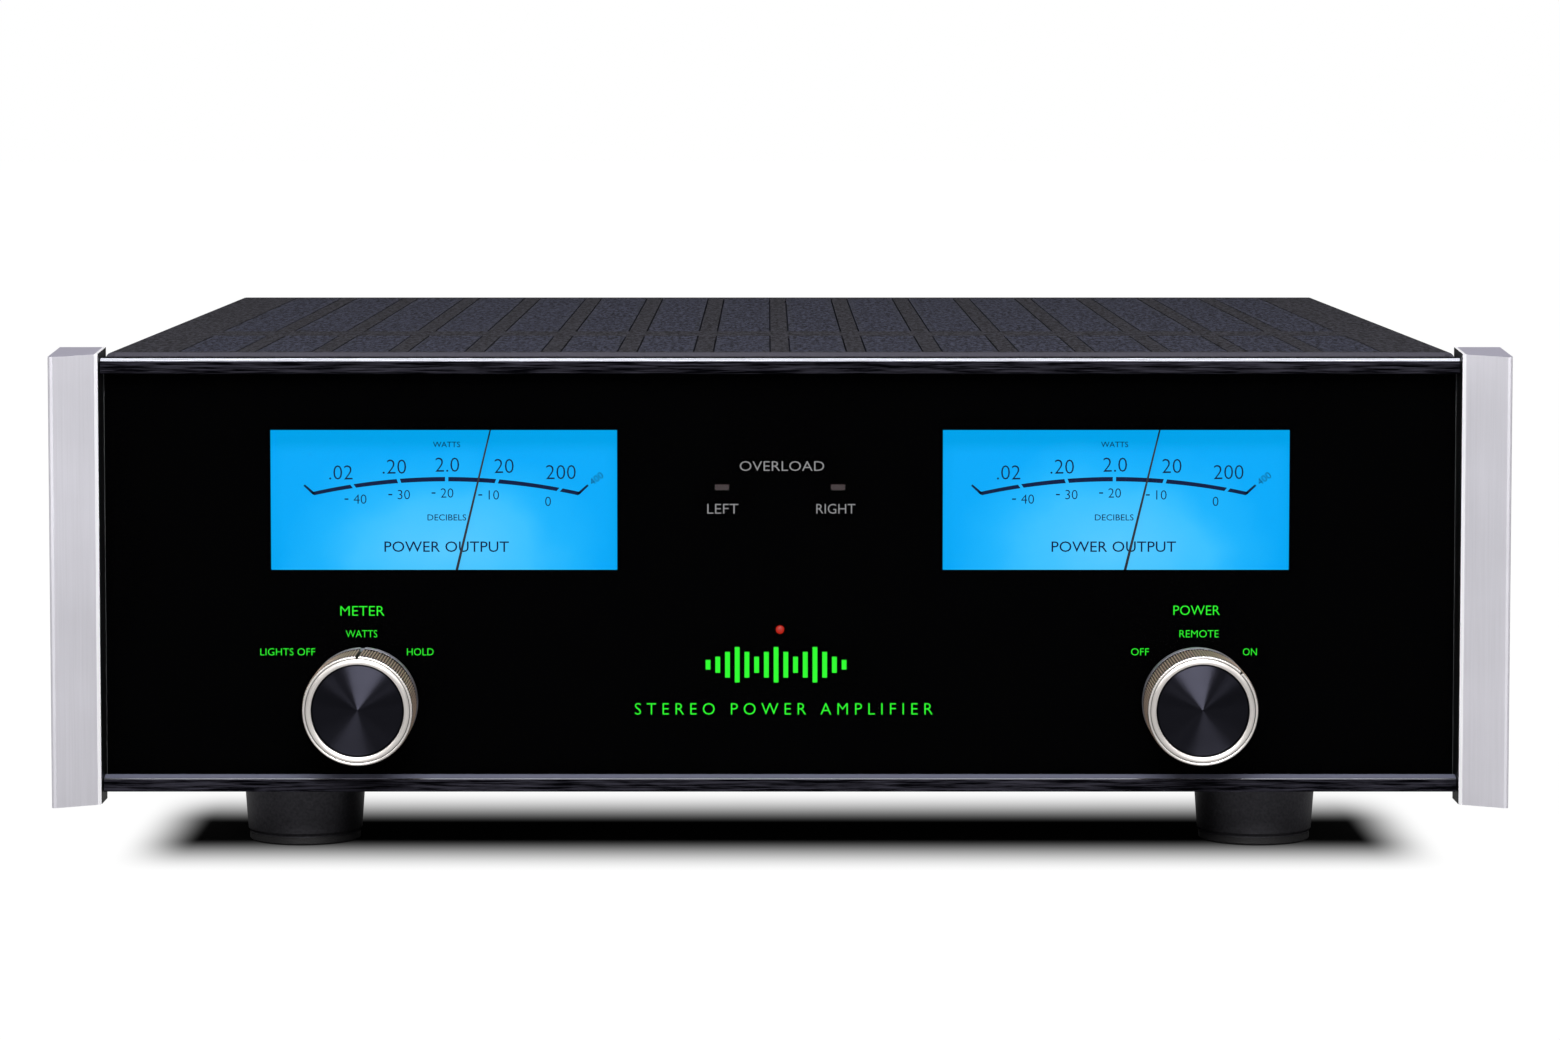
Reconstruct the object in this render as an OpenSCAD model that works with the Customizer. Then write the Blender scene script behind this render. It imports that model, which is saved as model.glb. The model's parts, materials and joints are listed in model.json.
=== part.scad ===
// A stereo power amplifier with two lit output meters behind a glass front.
// X runs across the front, -Y is the front, +Z is up, and the feet stand on Z = 0.
// Inside the modules, Y is measured back from the face of the front rails.

/* [Case] */
// Width over both end caps
overall_w = 444.5; // [440:0.5:448]
// Depth from the knob faces to the ends of the speaker posts
overall_d = 465; // [464:1:470]
// Width of the chassis and its cover
chassis_w = 415.6; // [411:0.2:416]
// Height of the underside of the chassis, which is the height of the feet
foot_h = 22; // [20:1:24]
// Height of the chassis from its underside to the top of the cover
chassis_h = 133.9; // [133:0.1:136]
// Thickness of the cover and of the pressed steel parts
sheet = 1.5; // [1.2:0.1:1.6]

/* [Front panel] */
// Height of the end caps at the back
cap_h = 139.4; // [138:0.1:141]
// Fall of their sloping tops towards the front
cap_fall = 1.6; // [0:0.1:2]
// Width of each end cap
cap_w = 14.2; // [13:0.1:15]
// How far the outer edge of an end cap stands in front of the rails
cap_reach = 12; // [9:0.5:14]
// Height over both rails
panel_h = 133.4; // [132:0.2:134]
// Width of a meter window
window_w = 106.7; // [100:0.1:108]
// Height of a meter window
window_h = 43.2; // [41:0.1:44]
// Distance of each meter window's middle from the centre line
window_x = 103.5; // [102:0.5:106]

/* [Knobs] */
// Diameter over the knurling
knob_d = 33.9; // [32:0.1:35]
// Distance of each knob from the centre line
knob_x = 128.2; // [126:0.2:130]
// Number of knurls
knurls = 120; // [90:2:150]
// Angle between two switch positions
switch_step = 45; // [30:5:60]

/* [Meters] */
// Swing of a pointer to each side of upright
meter_swing = 47; // [40:1:50]
// Angle that both pointers show, clockwise from upright
reading = 13.6; // [-40:0.1:40]

/* [Top vents] */
// Number of vent columns
vent_columns = 16; // [12:1:16]
// Distance between two vent columns
vent_pitch = 23.6; // [22:0.1:23.8]
// Width of a vent column
vent_w = 18; // [16:0.5:19]

/* [Hidden] */
$fn = 64;

// Depths, measured back from the face of the rails
knob_reach = 20;                           // knob face in front of the rails
front_y = knob_reach - overall_d / 2;      // rail face in the part's own frame
glass_y = 5;
glass_t = 4;
mask_t = 0.4;
mask_y = glass_y + glass_t + 0.15;
rail_d = 10;
subpanel_t = 2;
case_y = rail_d + subpanel_t;              // back of the subpanel
posts_end = overall_d - knob_reach;
back_y = posts_end - 28;                   // outside face of the rear panel

// Heights
base_top = foot_h + sheet;
cover_top = foot_h + chassis_h;
rail_bottom = foot_h - 0.6;
rail_top = rail_bottom + panel_h;
cap_bottom = rail_bottom - 3.4;
rail_lip = 4.8;
glass_seat = 3;
window_z = rail_top - 44.2;                // middle of a meter window
knob_z = rail_bottom + 27.4;
lamp_z = rail_bottom + 49;
guard_z = window_z + 3.9;
guard_x = 17.9;

// Widths
cap_x = overall_w / 2 - cap_w;             // inner face of an end cap
side_gap = 0.3;
base_x = chassis_w / 2 - sheet - side_gap; // outside of the base's side flanges
sink_x = 78;

// Meter movement, measured from its pivot
pivot_drop = 14.9;                         // pivot below the window
pivot_z = window_z - window_h / 2 - pivot_drop;
needle_r = 60;
yoke_r = 10.5;
core_r = 5.4;
coil_r = 7;
pivot_r = 0.6;
running = 0.05;                            // radial clearance of a turning shaft

// Meter case
case_w = window_w + 9.3;
case_top = needle_r + 4.9;
case_low = -13.6;
case_d = 32;
case_wall = 2;
dial_y = 20;
ear_x = case_w / 2 + 4;
ear_t = 2.5;
ear_rise = [0, case_top - 14];
ear_xs = [-window_x - ear_x, ear_x - window_x, window_x - ear_x, window_x + ear_x];
ear_zs = [pivot_z + ear_rise[0], pivot_z + ear_rise[1]];

// Fasteners
m4_r = 1.95;
m4_clear = 2.2;
m4_tap = 1.97;
m3_r = 1.45;
m3_clear = 1.65;
m3_tap = 1.47;
foot_x = 150.3;
foot_ys = [48, 375];
cover_screw_ys = [40, 214, 388];
base_screw_xs = [-180, -60, 60, 180];

// Rear connectors, as [x, z]
post_places = [[-124, 60], [-98, 60], [98, 60], [124, 60]];
rca_places = [[-36, 78], [36, 78]];
xlr_places = [[-36, 116], [36, 116]];
control_places = [[-9, 116], [9, 116]];
inlet_place = [172, 52];
fuse_place = [172, 92];
mode_place = [0, 78];

function arc(x, y, r, from, to, steps) =
  [for (i = [0:steps]) let (a = from + (to - from) * i / steps) [x + r * cos(a), y + r * sin(a)]];

function round_box(w, h, r) = concat(
  arc(w / 2 - r, h / 2 - r, r, 0, 90, 6), arc(r - w / 2, h / 2 - r, r, 90, 180, 6),
  arc(r - w / 2, r - h / 2, r, 180, 270, 6), arc(w / 2 - r, r - h / 2, r, 270, 360, 6));

// Turns a shape built upright so that its axis points out of the front, with +Y up.
module facing_front(x, y, z) translate([x, y, z]) rotate([90, 0, 0]) children();

// Turns a shape built upright so that its axis points out of the back.
module facing_back(x, y, z) translate([x, y, z]) rotate([-90, 0, 0]) children();

// Sweeps an outline in Y and Z along X.
module across(length) rotate([90, 0, 90]) linear_extrude(length, center = true) children();

module both_sides() {
  children();
  mirror([1, 0, 0]) children();
}

module block(x0, x1, y0, y1, z0, z1) translate([x0, y0, z0]) cube([x1 - x0, y1 - y0, z1 - z0]);

// Pan-head screw with a cross recess, its head seated at Z = 0 and its shank below.
module screw(r, length) {
  head_h = 1.2 * r;
  translate([0, 0, -length]) cylinder(r = r, h = length + 0.4);
  difference() {
    cylinder(r1 = 2 * r, r2 = 1.65 * r, h = head_h);
    translate([0, 0, head_h]) {
      cube([2.2 * r, 0.45 * r, head_h], center = true);
      cube([0.45 * r, 2.2 * r, head_h], center = true);
    }
  }
}

// ---- Front panel ----

module glass_holes(r) {
  for (side = [-1, 1]) facing_front(side * knob_x, 60, knob_z) cylinder(r = r, h = 80);
}

module glass_panel() {
  color([0.1, 0.1, 0.11, 0.4]) difference() {
    block(0.2 - cap_x, cap_x - 0.2, glass_y, glass_y + glass_t,
      rail_bottom + glass_seat + 0.1, rail_top - glass_seat - 0.1);
    glass_holes(9);
  }
}

module glass_mask() {
  color([0.01, 0.01, 0.01]) difference() {
    block(0.2 - cap_x, cap_x - 0.2, mask_y, mask_y + mask_t,
      rail_bottom + glass_seat + 0.1, rail_top - glass_seat - 0.1);
    glass_holes(9);
    for (side = [-1, 1]) {
      translate([side * window_x, mask_y, window_z]) cube([window_w, 4, window_h], center = true);
      translate([side * guard_x, mask_y, guard_z]) cube([4.6, 4, 2], center = true);
    }
    facing_front(0, 20, lamp_z) cylinder(r = 1.45, h = 20);
  }
}

module bottom_rail() {
  color([0.08, 0.08, 0.09]) across(2 * cap_x - 0.3) polygon([
    [0, rail_bottom], [rail_d, rail_bottom], [rail_d, rail_bottom + glass_seat],
    [glass_y - 0.1, rail_bottom + glass_seat], [glass_y - 0.1, rail_bottom + rail_lip],
    [0.7, rail_bottom + rail_lip - 0.7], [0, rail_bottom + rail_lip - 1.4]
  ]);
}

module top_rail() {
  color([0.08, 0.08, 0.09]) across(2 * cap_x - 0.3) polygon([
    [1.1, rail_top], [rail_d, rail_top], [rail_d, rail_top - glass_seat],
    [glass_y - 0.1, rail_top - glass_seat], [glass_y - 0.1, rail_top - rail_lip],
    [0.4, rail_top - rail_lip], [0, rail_top - rail_lip + 0.4], [0, rail_top - 1.1]
  ]);
}

cap_screw_zs = [cap_bottom + 32, cap_bottom + cap_h - 32];
cap_screw_x = cap_x + cap_w / 2;

module right_end_cap() {
  inner_reach = cap_reach - 7.5;
  cap_back = 16;
  top = cap_bottom + cap_h;
  color([0.82, 0.82, 0.84]) difference() {
    intersection() {
      translate([0, 0, cap_bottom]) linear_extrude(cap_h) polygon(concat(
        [[cap_x, 1.1 - inner_reach], [cap_x + 0.9, -inner_reach]],
        arc(overall_w / 2 - 1, 1 - cap_reach, 1, -122, 0, 5),
        [[overall_w / 2, cap_back], [cap_x, cap_back]]));
      across(2 * overall_w) polygon([[-cap_reach, cap_bottom - 1], [cap_back + 1, cap_bottom - 1],
        [cap_back + 1, top + 1], [cap_back, top], [-cap_reach, top - cap_fall]]);
    }
    block(cap_x - 1, overall_w / 2 - 2.9, rail_d, cap_back + 1, cap_bottom - 1, rail_top - 0.4);
    for (z = cap_screw_zs) facing_front(cap_screw_x, rail_d + 1, z) cylinder(r = m4_tap, h = 11);
  }
}

module left_end_cap() mirror([1, 0, 0]) right_end_cap();

module front_subpanel() {
  color([0.6, 0.61, 0.62]) difference() {
    block(3 - overall_w / 2, overall_w / 2 - 3, rail_d, case_y, rail_bottom + 0.6, rail_top - 0.6);
    for (side = [-1, 1]) {
      translate([side * window_x, rail_d, window_z])
        cube([window_w + 3, 9, window_h + 3], center = true);
      facing_front(side * knob_x, 20, knob_z) cylinder(r = 4.6, h = 20);
      translate([side * guard_x, rail_d, guard_z]) cube([5.4, 9, 3], center = true);
      for (z = cap_screw_zs) facing_front(side * cap_screw_x, 20, z) cylinder(r = m4_clear, h = 20);
    }
    facing_front(0, 20, lamp_z) cylinder(r = 1.8, h = 20);
    for (x = base_screw_xs) facing_front(x, 20, foot_h + 10) cylinder(r = m4_tap, h = 20);
    for (x = ear_xs, z = ear_zs) facing_front(x, 20, z) cylinder(r = m3_tap, h = 20);
  }
}

// ---- Meters, each drawn about its pivot ----

module at_pivot(side) translate([side * window_x, 0, pivot_z]) children();

module meter_case() {
  color([0.92, 0.93, 0.94]) difference() {
    union() {
      block(-case_w / 2, case_w / 2, case_y, case_y + case_d, case_low, case_top);
      for (side = [-1, 1], z = ear_rise)
        facing_back(side * ear_x, case_y, z) cylinder(r = 4.5, h = ear_t);
    }
    block(case_wall - case_w / 2, case_w / 2 - case_wall, case_y - 1, case_y + case_d - case_wall,
      case_low + case_wall, case_top - case_wall);
    for (side = [-1, 1], z = ear_rise)
      facing_back(side * ear_x, case_y - 1, z) cylinder(r = m3_clear, h = 5);
  }
  color([0.92, 0.93, 0.94]) for (side = [-1, 1], z = [17, case_top - 7])
    facing_back(side * (case_w / 2 - 7), dial_y + 0.8, z)
      cylinder(r = 2.5, h = case_y + case_d - case_wall - dial_y - 0.8);
}

module meter_dial() {
  color([0.05, 0.62, 0.95]) block(2.5 - case_w / 2, case_w / 2 - 2.5, dial_y, dial_y + 0.8,
    yoke_r + 1.2, case_top - 2.5);
}

module bridge(y, thickness) {
  difference() {
    block(-yoke_r, yoke_r, y, y + thickness, -2.4, 2.4);
    facing_back(0, y - 1, 0) cylinder(r = pivot_r + running, h = thickness + 2);
  }
}

module meter_movement() {
  yoke_y = 20;
  yoke_t = 12;
  color([0.55, 0.56, 0.58]) {
    difference() {
      facing_back(0, yoke_y, 0) cylinder(r = yoke_r, h = yoke_t);
      facing_back(0, yoke_y - 1, 0) cylinder(r = coil_r + 0.6, h = yoke_t + 2);
    }
    difference() {
      union() {
        facing_back(0, yoke_y + 0.2, 0) cylinder(r = core_r, h = yoke_t - 0.4);
        block(-1.6, 1.6, yoke_y + 4, yoke_y + 8, -coil_r - 0.7, coil_r + 0.7);
      }
      facing_back(0, yoke_y - 1, 0) cylinder(r = 1, h = yoke_t + 2);
    }
    bridge(13, 1.4);
    bridge(yoke_y + yoke_t + 2, 1.4);
    for (side = [-1, 1]) {
      facing_back(side * 9.3, 14.4, 0) cylinder(r = 1, h = yoke_y - 14.4);
      facing_back(side * 9.3, yoke_y + yoke_t, 0) cylinder(r = 1, h = 2);
    }
    difference() {
      block(-9, 9, yoke_y + yoke_t + 3.4, case_y + case_d - case_wall, -5, 5);
      facing_back(0, yoke_y + yoke_t + 3, 0) cylinder(r = 1, h = 20);
    }
  }
}

module pointer() {
  needle_y = 16.6;
  tail_r = 9;
  color([0.05, 0.06, 0.1]) rotate([0, reading, 0]) {
    facing_back(0, 13.1, 0) cylinder(r = pivot_r, h = 22.2);
    facing_back(0, 15.6, 0) cylinder(r = 2.2, h = 2.4);
    translate([0, needle_y + 0.35, 0]) rotate([90, 0, 0]) linear_extrude(0.35)
      polygon([[-0.45, -tail_r], [0.45, -tail_r], [0.45, 2], [0.22, needle_r], [-0.22, needle_r],
        [-0.45, 2]]);
    facing_back(0, needle_y - 0.4, -tail_r) cylinder(r = 1.5, h = 1.2);
    block(-coil_r, coil_r, 18.7, 19.6, -1.2, 1.2);
    block(-coil_r, coil_r, 32.4, 33.2, -1.2, 1.2);
    for (side = [-1, 1]) translate([side * (coil_r - 0.5), 25.9, 0]) cube([1, 13.2, 2.4], center = true);
  }
}

module meter_lamps() {
  board_y = case_y + case_d - case_wall - 4;
  board_z = pivot_z + 36;
  for (side = [-1, 1]) translate([side * window_x, 0, board_z]) {
    color([0.1, 0.3, 0.16]) block(-42, 42, board_y, board_y + 1.6, -7, 7);
    color([0.95, 0.95, 0.8]) for (x = [-35:14:35]) block(x - 1.8, x + 1.8, board_y - 1.4, board_y, -1.5, 1.5);
    color([0.8, 0.8, 0.8]) for (x = [-38, 38])
      facing_back(x, board_y + 1.6, 0) cylinder(r = 2, h = 2.4);
  }
}

module left_meter_case() at_pivot(-1) meter_case();
module right_meter_case() at_pivot(1) meter_case();
module left_meter_dial() at_pivot(-1) meter_dial();
module right_meter_dial() at_pivot(1) meter_dial();
module left_meter_movement() at_pivot(-1) meter_movement();
module right_meter_movement() at_pivot(1) meter_movement();
module left_pointer() at_pivot(-1) pointer();
module right_pointer() at_pivot(1) pointer();

// ---- Knobs, each drawn about its axis with local Z pointing out of the front ----

knob_back = 3.5;                           // back of the skirt behind the rail face
knob_l = knob_back + knob_reach;
disc_r = 14;
disc_floor = knob_l - 3;
shaft_r = 3;
bore_l = 16;

module at_knob(side, clicks) facing_front(side * knob_x, knob_back, knob_z)
  rotate([0, 0, -clicks * switch_step]) children();

// Outline of the knurled band
function knurl_outline(r, depth, count) =
  [for (i = [0:2 * count - 1]) let (a = 180 * i / count) (r - (i % 2) * depth) * [cos(a), sin(a)]];

module knob() {
  r = knob_d / 2;
  grub_z = 4.7;
  color([0.75, 0.72, 0.68]) difference() {
    union() {
      cylinder(r1 = r - 0.3, r2 = r - 0.05, h = 0.7);
      translate([0, 0, 0.7]) cylinder(r = r - 0.05, h = 2.7);
      cylinder(r = r - 1.2, h = 7);
      translate([0, 0, 6]) linear_extrude(knob_l - 6.9) polygon(knurl_outline(r, 0.42, knurls));
      rotate_extrude() polygon([[0, 5], [r - 0.5, knob_l - 2], [r - 0.1, knob_l - 0.95],
        [r - 0.75, knob_l - 0.1], [r - 0.95, knob_l - 0.1], [r - 1.05, knob_l - 0.35],
        [r - 1.15, knob_l], [disc_r, knob_l - 0.35], [0, knob_l - 0.35]]);
    }
    translate([0, 0, disc_floor]) cylinder(r = disc_r, h = 5);
    translate([0, 0, -1]) cylinder(r = shaft_r + 0.01, h = bore_l + 1);
    translate([0, 0, -1]) cylinder(r = 9.5, h = 4);
    translate([-0.5, r - 1, 5.9]) cube([1, 3, 30]);
    translate([0, 0, grub_z]) rotate([90, 0, 0]) cylinder(r = 1.3, h = 30);
  }
  color([0.3, 0.3, 0.3]) translate([0, 0, grub_z]) rotate([90, 0, 0])
    translate([0, 0, shaft_r + 0.05]) cylinder(r = 1.28, h = 8);
}

module knob_disc() {
  color([0.05, 0.05, 0.06]) translate([0, 0, disc_floor]) rotate_extrude() polygon([
    [0, 0], [disc_r - 0.05, 0], [disc_r - 0.05, 1.9], [disc_r - 0.35, 2.2], [0, 2.2]]);
}

module knob_shaft() {
  rotor_z = -16;
  color([0.8, 0.8, 0.8]) {
    translate([0, 0, rotor_z - 6]) cylinder(r = shaft_r, h = bore_l - 0.5 - rotor_z + 6);
    translate([0, 0, rotor_z]) cylinder(r = 7, h = 2);
  }
}

switch_d = 21;

// The left knob rests at its middle position and the right one a step clockwise of it.
module left_knob() at_knob(-1, 0) knob();
module right_knob() at_knob(1, 1) knob();
module left_knob_disc() at_knob(-1, 0) knob_disc();
module right_knob_disc() at_knob(1, 1) knob_disc();
module left_knob_shaft() at_knob(-1, 0) knob_shaft();
module right_knob_shaft() at_knob(1, 1) knob_shaft();

module rotary_switches() {
  color([0.2, 0.2, 0.22]) for (side = [-1, 1]) translate([side * knob_x, 0, knob_z]) {
    difference() {
      union() {
        facing_back(0, case_y, 0) cylinder(r = yoke_r, h = switch_d);
        facing_back(0, 4.3, 0) cylinder(r = 4.5, h = 8);
      }
      facing_back(0, case_y + 3, 0) cylinder(r = 8.5, h = switch_d - 5);
      facing_back(0, 4, 0) cylinder(r = shaft_r + running, h = case_y);
    }
    for (a = [22.5:45:359])
      facing_back(8.6 * cos(a), case_y + switch_d - 0.5, 8.6 * sin(a)) cylinder(r = 0.7, h = 5);
  }
}

module switch_nuts() {
  color([0.8, 0.78, 0.7]) for (side = [-1, 1]) facing_front(side * knob_x, rail_d, knob_z)
    difference() {
      cylinder(r = 7, h = 2.2, $fn = 6);
      translate([0, 0, -1]) cylinder(r = 4.52, h = 5);
    }
}

// ---- Front electronics ----

board_t = 1.6;
front_board_y = 24;

module front_board() {
  spacer_zs = [foot_h + 20, rail_top - 15];
  color([0.1, 0.32, 0.18]) difference() {
    block(-42, 42, front_board_y, front_board_y + board_t, foot_h + 14, rail_top - 10);
    for (x = [-37, 37], z = spacer_zs)
      facing_back(x, front_board_y - 1, z) cylinder(r = 1.6, h = 4);
  }
  color([0.8, 0.8, 0.8]) for (x = [-37, 37], z = spacer_zs)
    facing_back(x, case_y, z) cylinder(r = 3, h = front_board_y - case_y);
  color([0.07, 0.07, 0.07]) for (z = [50, 78, 98])
    block(-14, -2, front_board_y + board_t, front_board_y + 5, z, z + 9);
  color([0.9, 0.9, 0.85]) for (z = [44, 112])
    block(4, 32, front_board_y + board_t, front_board_y + 9, z, z + 7);
}

module indicator_lamps() {
  lamp_y = mask_y + 0.05;
  color([0.75, 0.08, 0.02]) facing_front(0, front_board_y, lamp_z)
    cylinder(r = 1.35, h = front_board_y - lamp_y);
  color([0.25, 0.15, 0.16]) for (side = [-1, 1])
    block(side * guard_x - 2.15, side * guard_x + 2.15, lamp_y, front_board_y,
      guard_z - 0.85, guard_z + 0.85);
}

// ---- Case ----

vent_front = 18;
vent_split = [117, 146];
vent_back = 407;
vent_runs = [[vent_front, vent_split[0]], [vent_split[1], vent_back]];
lip_r = 1.2;
lip_y = case_y + 0.3;
cover_back = back_y - sheet - 0.3;

function vent_x(i) = (i - (vent_columns - 1) / 2) * vent_pitch;

module top_cover() {
  w = chassis_w / 2;
  r = 2;
  color([0.16, 0.16, 0.18]) difference() {
    union() {
      translate([0, cover_back, 0]) rotate([90, 0, 0]) linear_extrude(cover_back - lip_y - lip_r)
        polygon(concat([[w, foot_h + 1]], arc(w - r, cover_top - r, r, 0, 90, 5),
          arc(r - w, cover_top - r, r, 90, 180, 5), [[-w, foot_h + 1], [sheet - w, foot_h + 1]],
          arc(r - w, cover_top - r, r - sheet, 180, 90, 3),
          arc(w - r, cover_top - r, r - sheet, 90, 0, 3), [[w - sheet, foot_h + 1]]));
      block(3 - w, w - 3, lip_y, lip_y + sheet, cover_top - 6, cover_top - lip_r);
      translate([3 - w, lip_y + lip_r, cover_top - lip_r]) rotate([0, 90, 0])
        cylinder(r = lip_r, h = 2 * w - 6);
    }
    for (i = [0:vent_columns - 1], run = vent_runs)
      translate([vent_x(i) - vent_w / 2, run[0], cover_top - 4]) cube([vent_w, run[1] - run[0], 9]);
    for (side = [-1, 1], y = cover_screw_ys)
      translate([side * w, y, foot_h + 12]) rotate([0, 90, 0])
        cylinder(r = m4_clear, h = 9, center = true);
  }
}

slot_count = 5;
slot_w = 1.9;
slot_pitch = 3.1;
slot_margin = 2.5;

// Corners of the lengthwise slots under one window of the cover
function slot_corners(x, run) = [for (j = [0:slot_count - 1], c = [[-1, 0], [1, 0], [1, 1], [-1, 1]])
  [x + (j - (slot_count - 1) / 2) * slot_pitch + c[0] * slot_w / 2,
    c[1] == 0 ? run[0] + slot_margin : run[1] - slot_margin]];

function rim_corners(w, y0, y1, x = 0) = [[x - w, y0], [x + w, y0], [x + w, y1], [x - w, y1]];

// The first four points as the rim, and each further four as a hole
module slotted(corners) polygon(corners,
  [for (i = [0:len(corners) / 4 - 1]) [4 * i, 4 * i + 1, 4 * i + 2, 4 * i + 3]]);

// One sheet under the cover, with a slotted pad that stands up in each of the cover's windows
module vent_grille() {
  rim_x = vent_x(vent_columns - 1) + vent_w / 2 + 5;
  sheet_t = 1;
  pad_gap = 0.7;
  color([0.2, 0.2, 0.23]) {
    translate([0, 0, cover_top - sheet - sheet_t]) linear_extrude(sheet_t)
      slotted(concat(rim_corners(rim_x, vent_front - 3, vent_back + 4),
        [for (i = [0:vent_columns - 1], run = vent_runs, c = slot_corners(vent_x(i), run)) c]));
    for (i = [0:vent_columns - 1], run = vent_runs)
      translate([0, 0, cover_top - sheet]) linear_extrude(sheet - 0.2)
        slotted(concat(rim_corners(vent_w / 2 - pad_gap, run[0] + pad_gap, run[1] - pad_gap, vent_x(i)),
          slot_corners(vent_x(i), run)));
  }
}

module chassis_base() {
  side_h = 22;
  end_h = 15;
  front = case_y + 0.3;
  back = back_y - sheet - 0.2;
  color([0.35, 0.35, 0.37]) difference() {
    union() {
      block(-base_x, base_x, front, back, foot_h, base_top);
      for (side = [-1, 1])
        block(min(side * base_x, side * (base_x - sheet)), max(side * base_x, side * (base_x - sheet)),
          front, back, foot_h, foot_h + side_h);
      block(5 - base_x, base_x - 5, front, front + sheet, foot_h, foot_h + end_h);
      block(5 - base_x, base_x - 5, back - sheet, back, foot_h, foot_h + end_h);
    }
    for (x = [-foot_x, foot_x], y = foot_ys) translate([x, y, 0]) cylinder(r = m4_clear, h = 60);
    for (side = [-1, 1], y = [205:14:387]) translate([side * (sink_x + 31), y, foot_h])
      cube([42, 5, 9], center = true);
    for (side = [-1, 1], y = cover_screw_ys) translate([side * base_x, y, foot_h + 12])
      rotate([0, 90, 0]) cylinder(r = m4_tap, h = 9, center = true);
    for (x = base_screw_xs) facing_back(x, 0, foot_h + 10) cylinder(r = m4_tap, h = back_y);
    translate([0, toroid_y, 0]) cylinder(r = 4.2, h = 60);
  }
}

module rear_panel() {
  color([0.16, 0.16, 0.18]) difference() {
    block(-base_x, base_x, back_y - sheet, back_y, foot_h + 0.5, cover_top - 0.5);
    for (p = post_places) facing_back(p[0], back_y - 9, p[1]) cylinder(r = 6.2, h = 20);
    for (p = rca_places) facing_back(p[0], back_y - 9, p[1]) cylinder(r = 5.2, h = 20);
    for (p = xlr_places) facing_back(p[0], back_y - 9, p[1]) cylinder(r = 12, h = 20);
    for (p = control_places) facing_back(p[0], back_y - 9, p[1]) cylinder(r = 3.1, h = 20);
    facing_back(fuse_place[0], back_y - 9, fuse_place[1]) cylinder(r = 6.5, h = 20);
    translate([inlet_place[0], back_y, inlet_place[1]]) cube([28, 9, 20.4], center = true);
    translate([mode_place[0], back_y, mode_place[1]]) cube([15, 9, 6.4], center = true);
    for (side = [-1, 1])
      facing_back(inlet_place[0] + side * 20, back_y - 9, inlet_place[1]) cylinder(r = m3_tap, h = 20);
    for (p = xlr_places, side = [-1, 1])
      facing_back(p[0] + side * 9.5, back_y - 9, p[1] + side * 12) cylinder(r = m3_tap, h = 20);
    for (x = base_screw_xs) facing_back(x, back_y - 9, foot_h + 10) cylinder(r = m4_clear, h = 20);
    for (x = [-184:8:-160]) translate([x, back_y, 104]) cube([3, 9, 56], center = true);
  }
}

module screws() {
  color([0.12, 0.12, 0.12]) {
    for (side = [-1, 1], z = cap_screw_zs) facing_back(side * cap_screw_x, case_y, z) screw(m4_r, 9);
    for (side = [-1, 1], y = cover_screw_ys)
      translate([side * chassis_w / 2, y, foot_h + 12]) rotate([0, side * 90, 0]) screw(m4_r, 8);
    for (x = [-foot_x, foot_x], y = foot_ys) translate([x, y, 9]) rotate([180, 0, 0]) screw(m4_r, 17.4);
    for (x = base_screw_xs) {
      facing_back(x, case_y + 0.3 + sheet, foot_h + 10) screw(m4_r, 3.6);
      facing_back(x, back_y, foot_h + 10) screw(m4_r, 8);
    }
    for (x = ear_xs, z = ear_zs) facing_back(x, case_y + ear_t, z) screw(m3_r, 4.4);
    for (side = [-1, 1])
      facing_back(inlet_place[0] + side * 20, back_y + 2.5, inlet_place[1]) screw(m3_r, 7);
    for (p = xlr_places, side = [-1, 1])
      facing_back(p[0] + side * 9.5, back_y + 2, p[1] + side * 12) screw(m3_r, 7);
  }
  color([0.7, 0.7, 0.7]) for (x = [-foot_x, foot_x], y = foot_ys) translate([x, y, base_top])
    difference() {
      cylinder(r = 4.04, h = 3.2, $fn = 6);
      translate([0, 0, -1]) cylinder(r = m4_tap, h = 6);
    }
}

module foot(x, y) {
  top_r = 19.3;
  low_r = 18;
  pad_t = 2.5;
  color([0.06, 0.06, 0.06]) translate([x, y, 0]) difference() {
    union() {
      translate([0, 0, pad_t]) cylinder(r = low_r - 0.9, h = 1);
      translate([0, 0, pad_t + 0.5]) cylinder(r1 = low_r - 0.5, r2 = low_r, h = 0.8);
      translate([0, 0, pad_t + 1.3]) cylinder(r1 = low_r, r2 = top_r, h = foot_h - pad_t - 1.3);
    }
    cylinder(r = m4_clear, h = 60);
    translate([0, 0, -1]) cylinder(r = 6, h = 10);
  }
}

module front_left_foot() foot(-foot_x, foot_ys[0]);
module front_right_foot() foot(foot_x, foot_ys[0]);
module rear_left_foot() foot(-foot_x, foot_ys[1]);
module rear_right_foot() foot(foot_x, foot_ys[1]);

module foot_pads() {
  color([0.1, 0.1, 0.1]) for (x = [-foot_x, foot_x], y = foot_ys) translate([x, y, 0]) difference() {
    union() {
      cylinder(r1 = 16.9, r2 = 17.5, h = 0.6);
      translate([0, 0, 0.6]) cylinder(r = 17.5, h = 1.9);
    }
    translate([0, 0, -1]) cylinder(r = 6.2, h = 9);
  }
}

// ---- Inside ----

toroid_y = 108;
toroid_r = 66;
toroid_h = 58;

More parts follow.
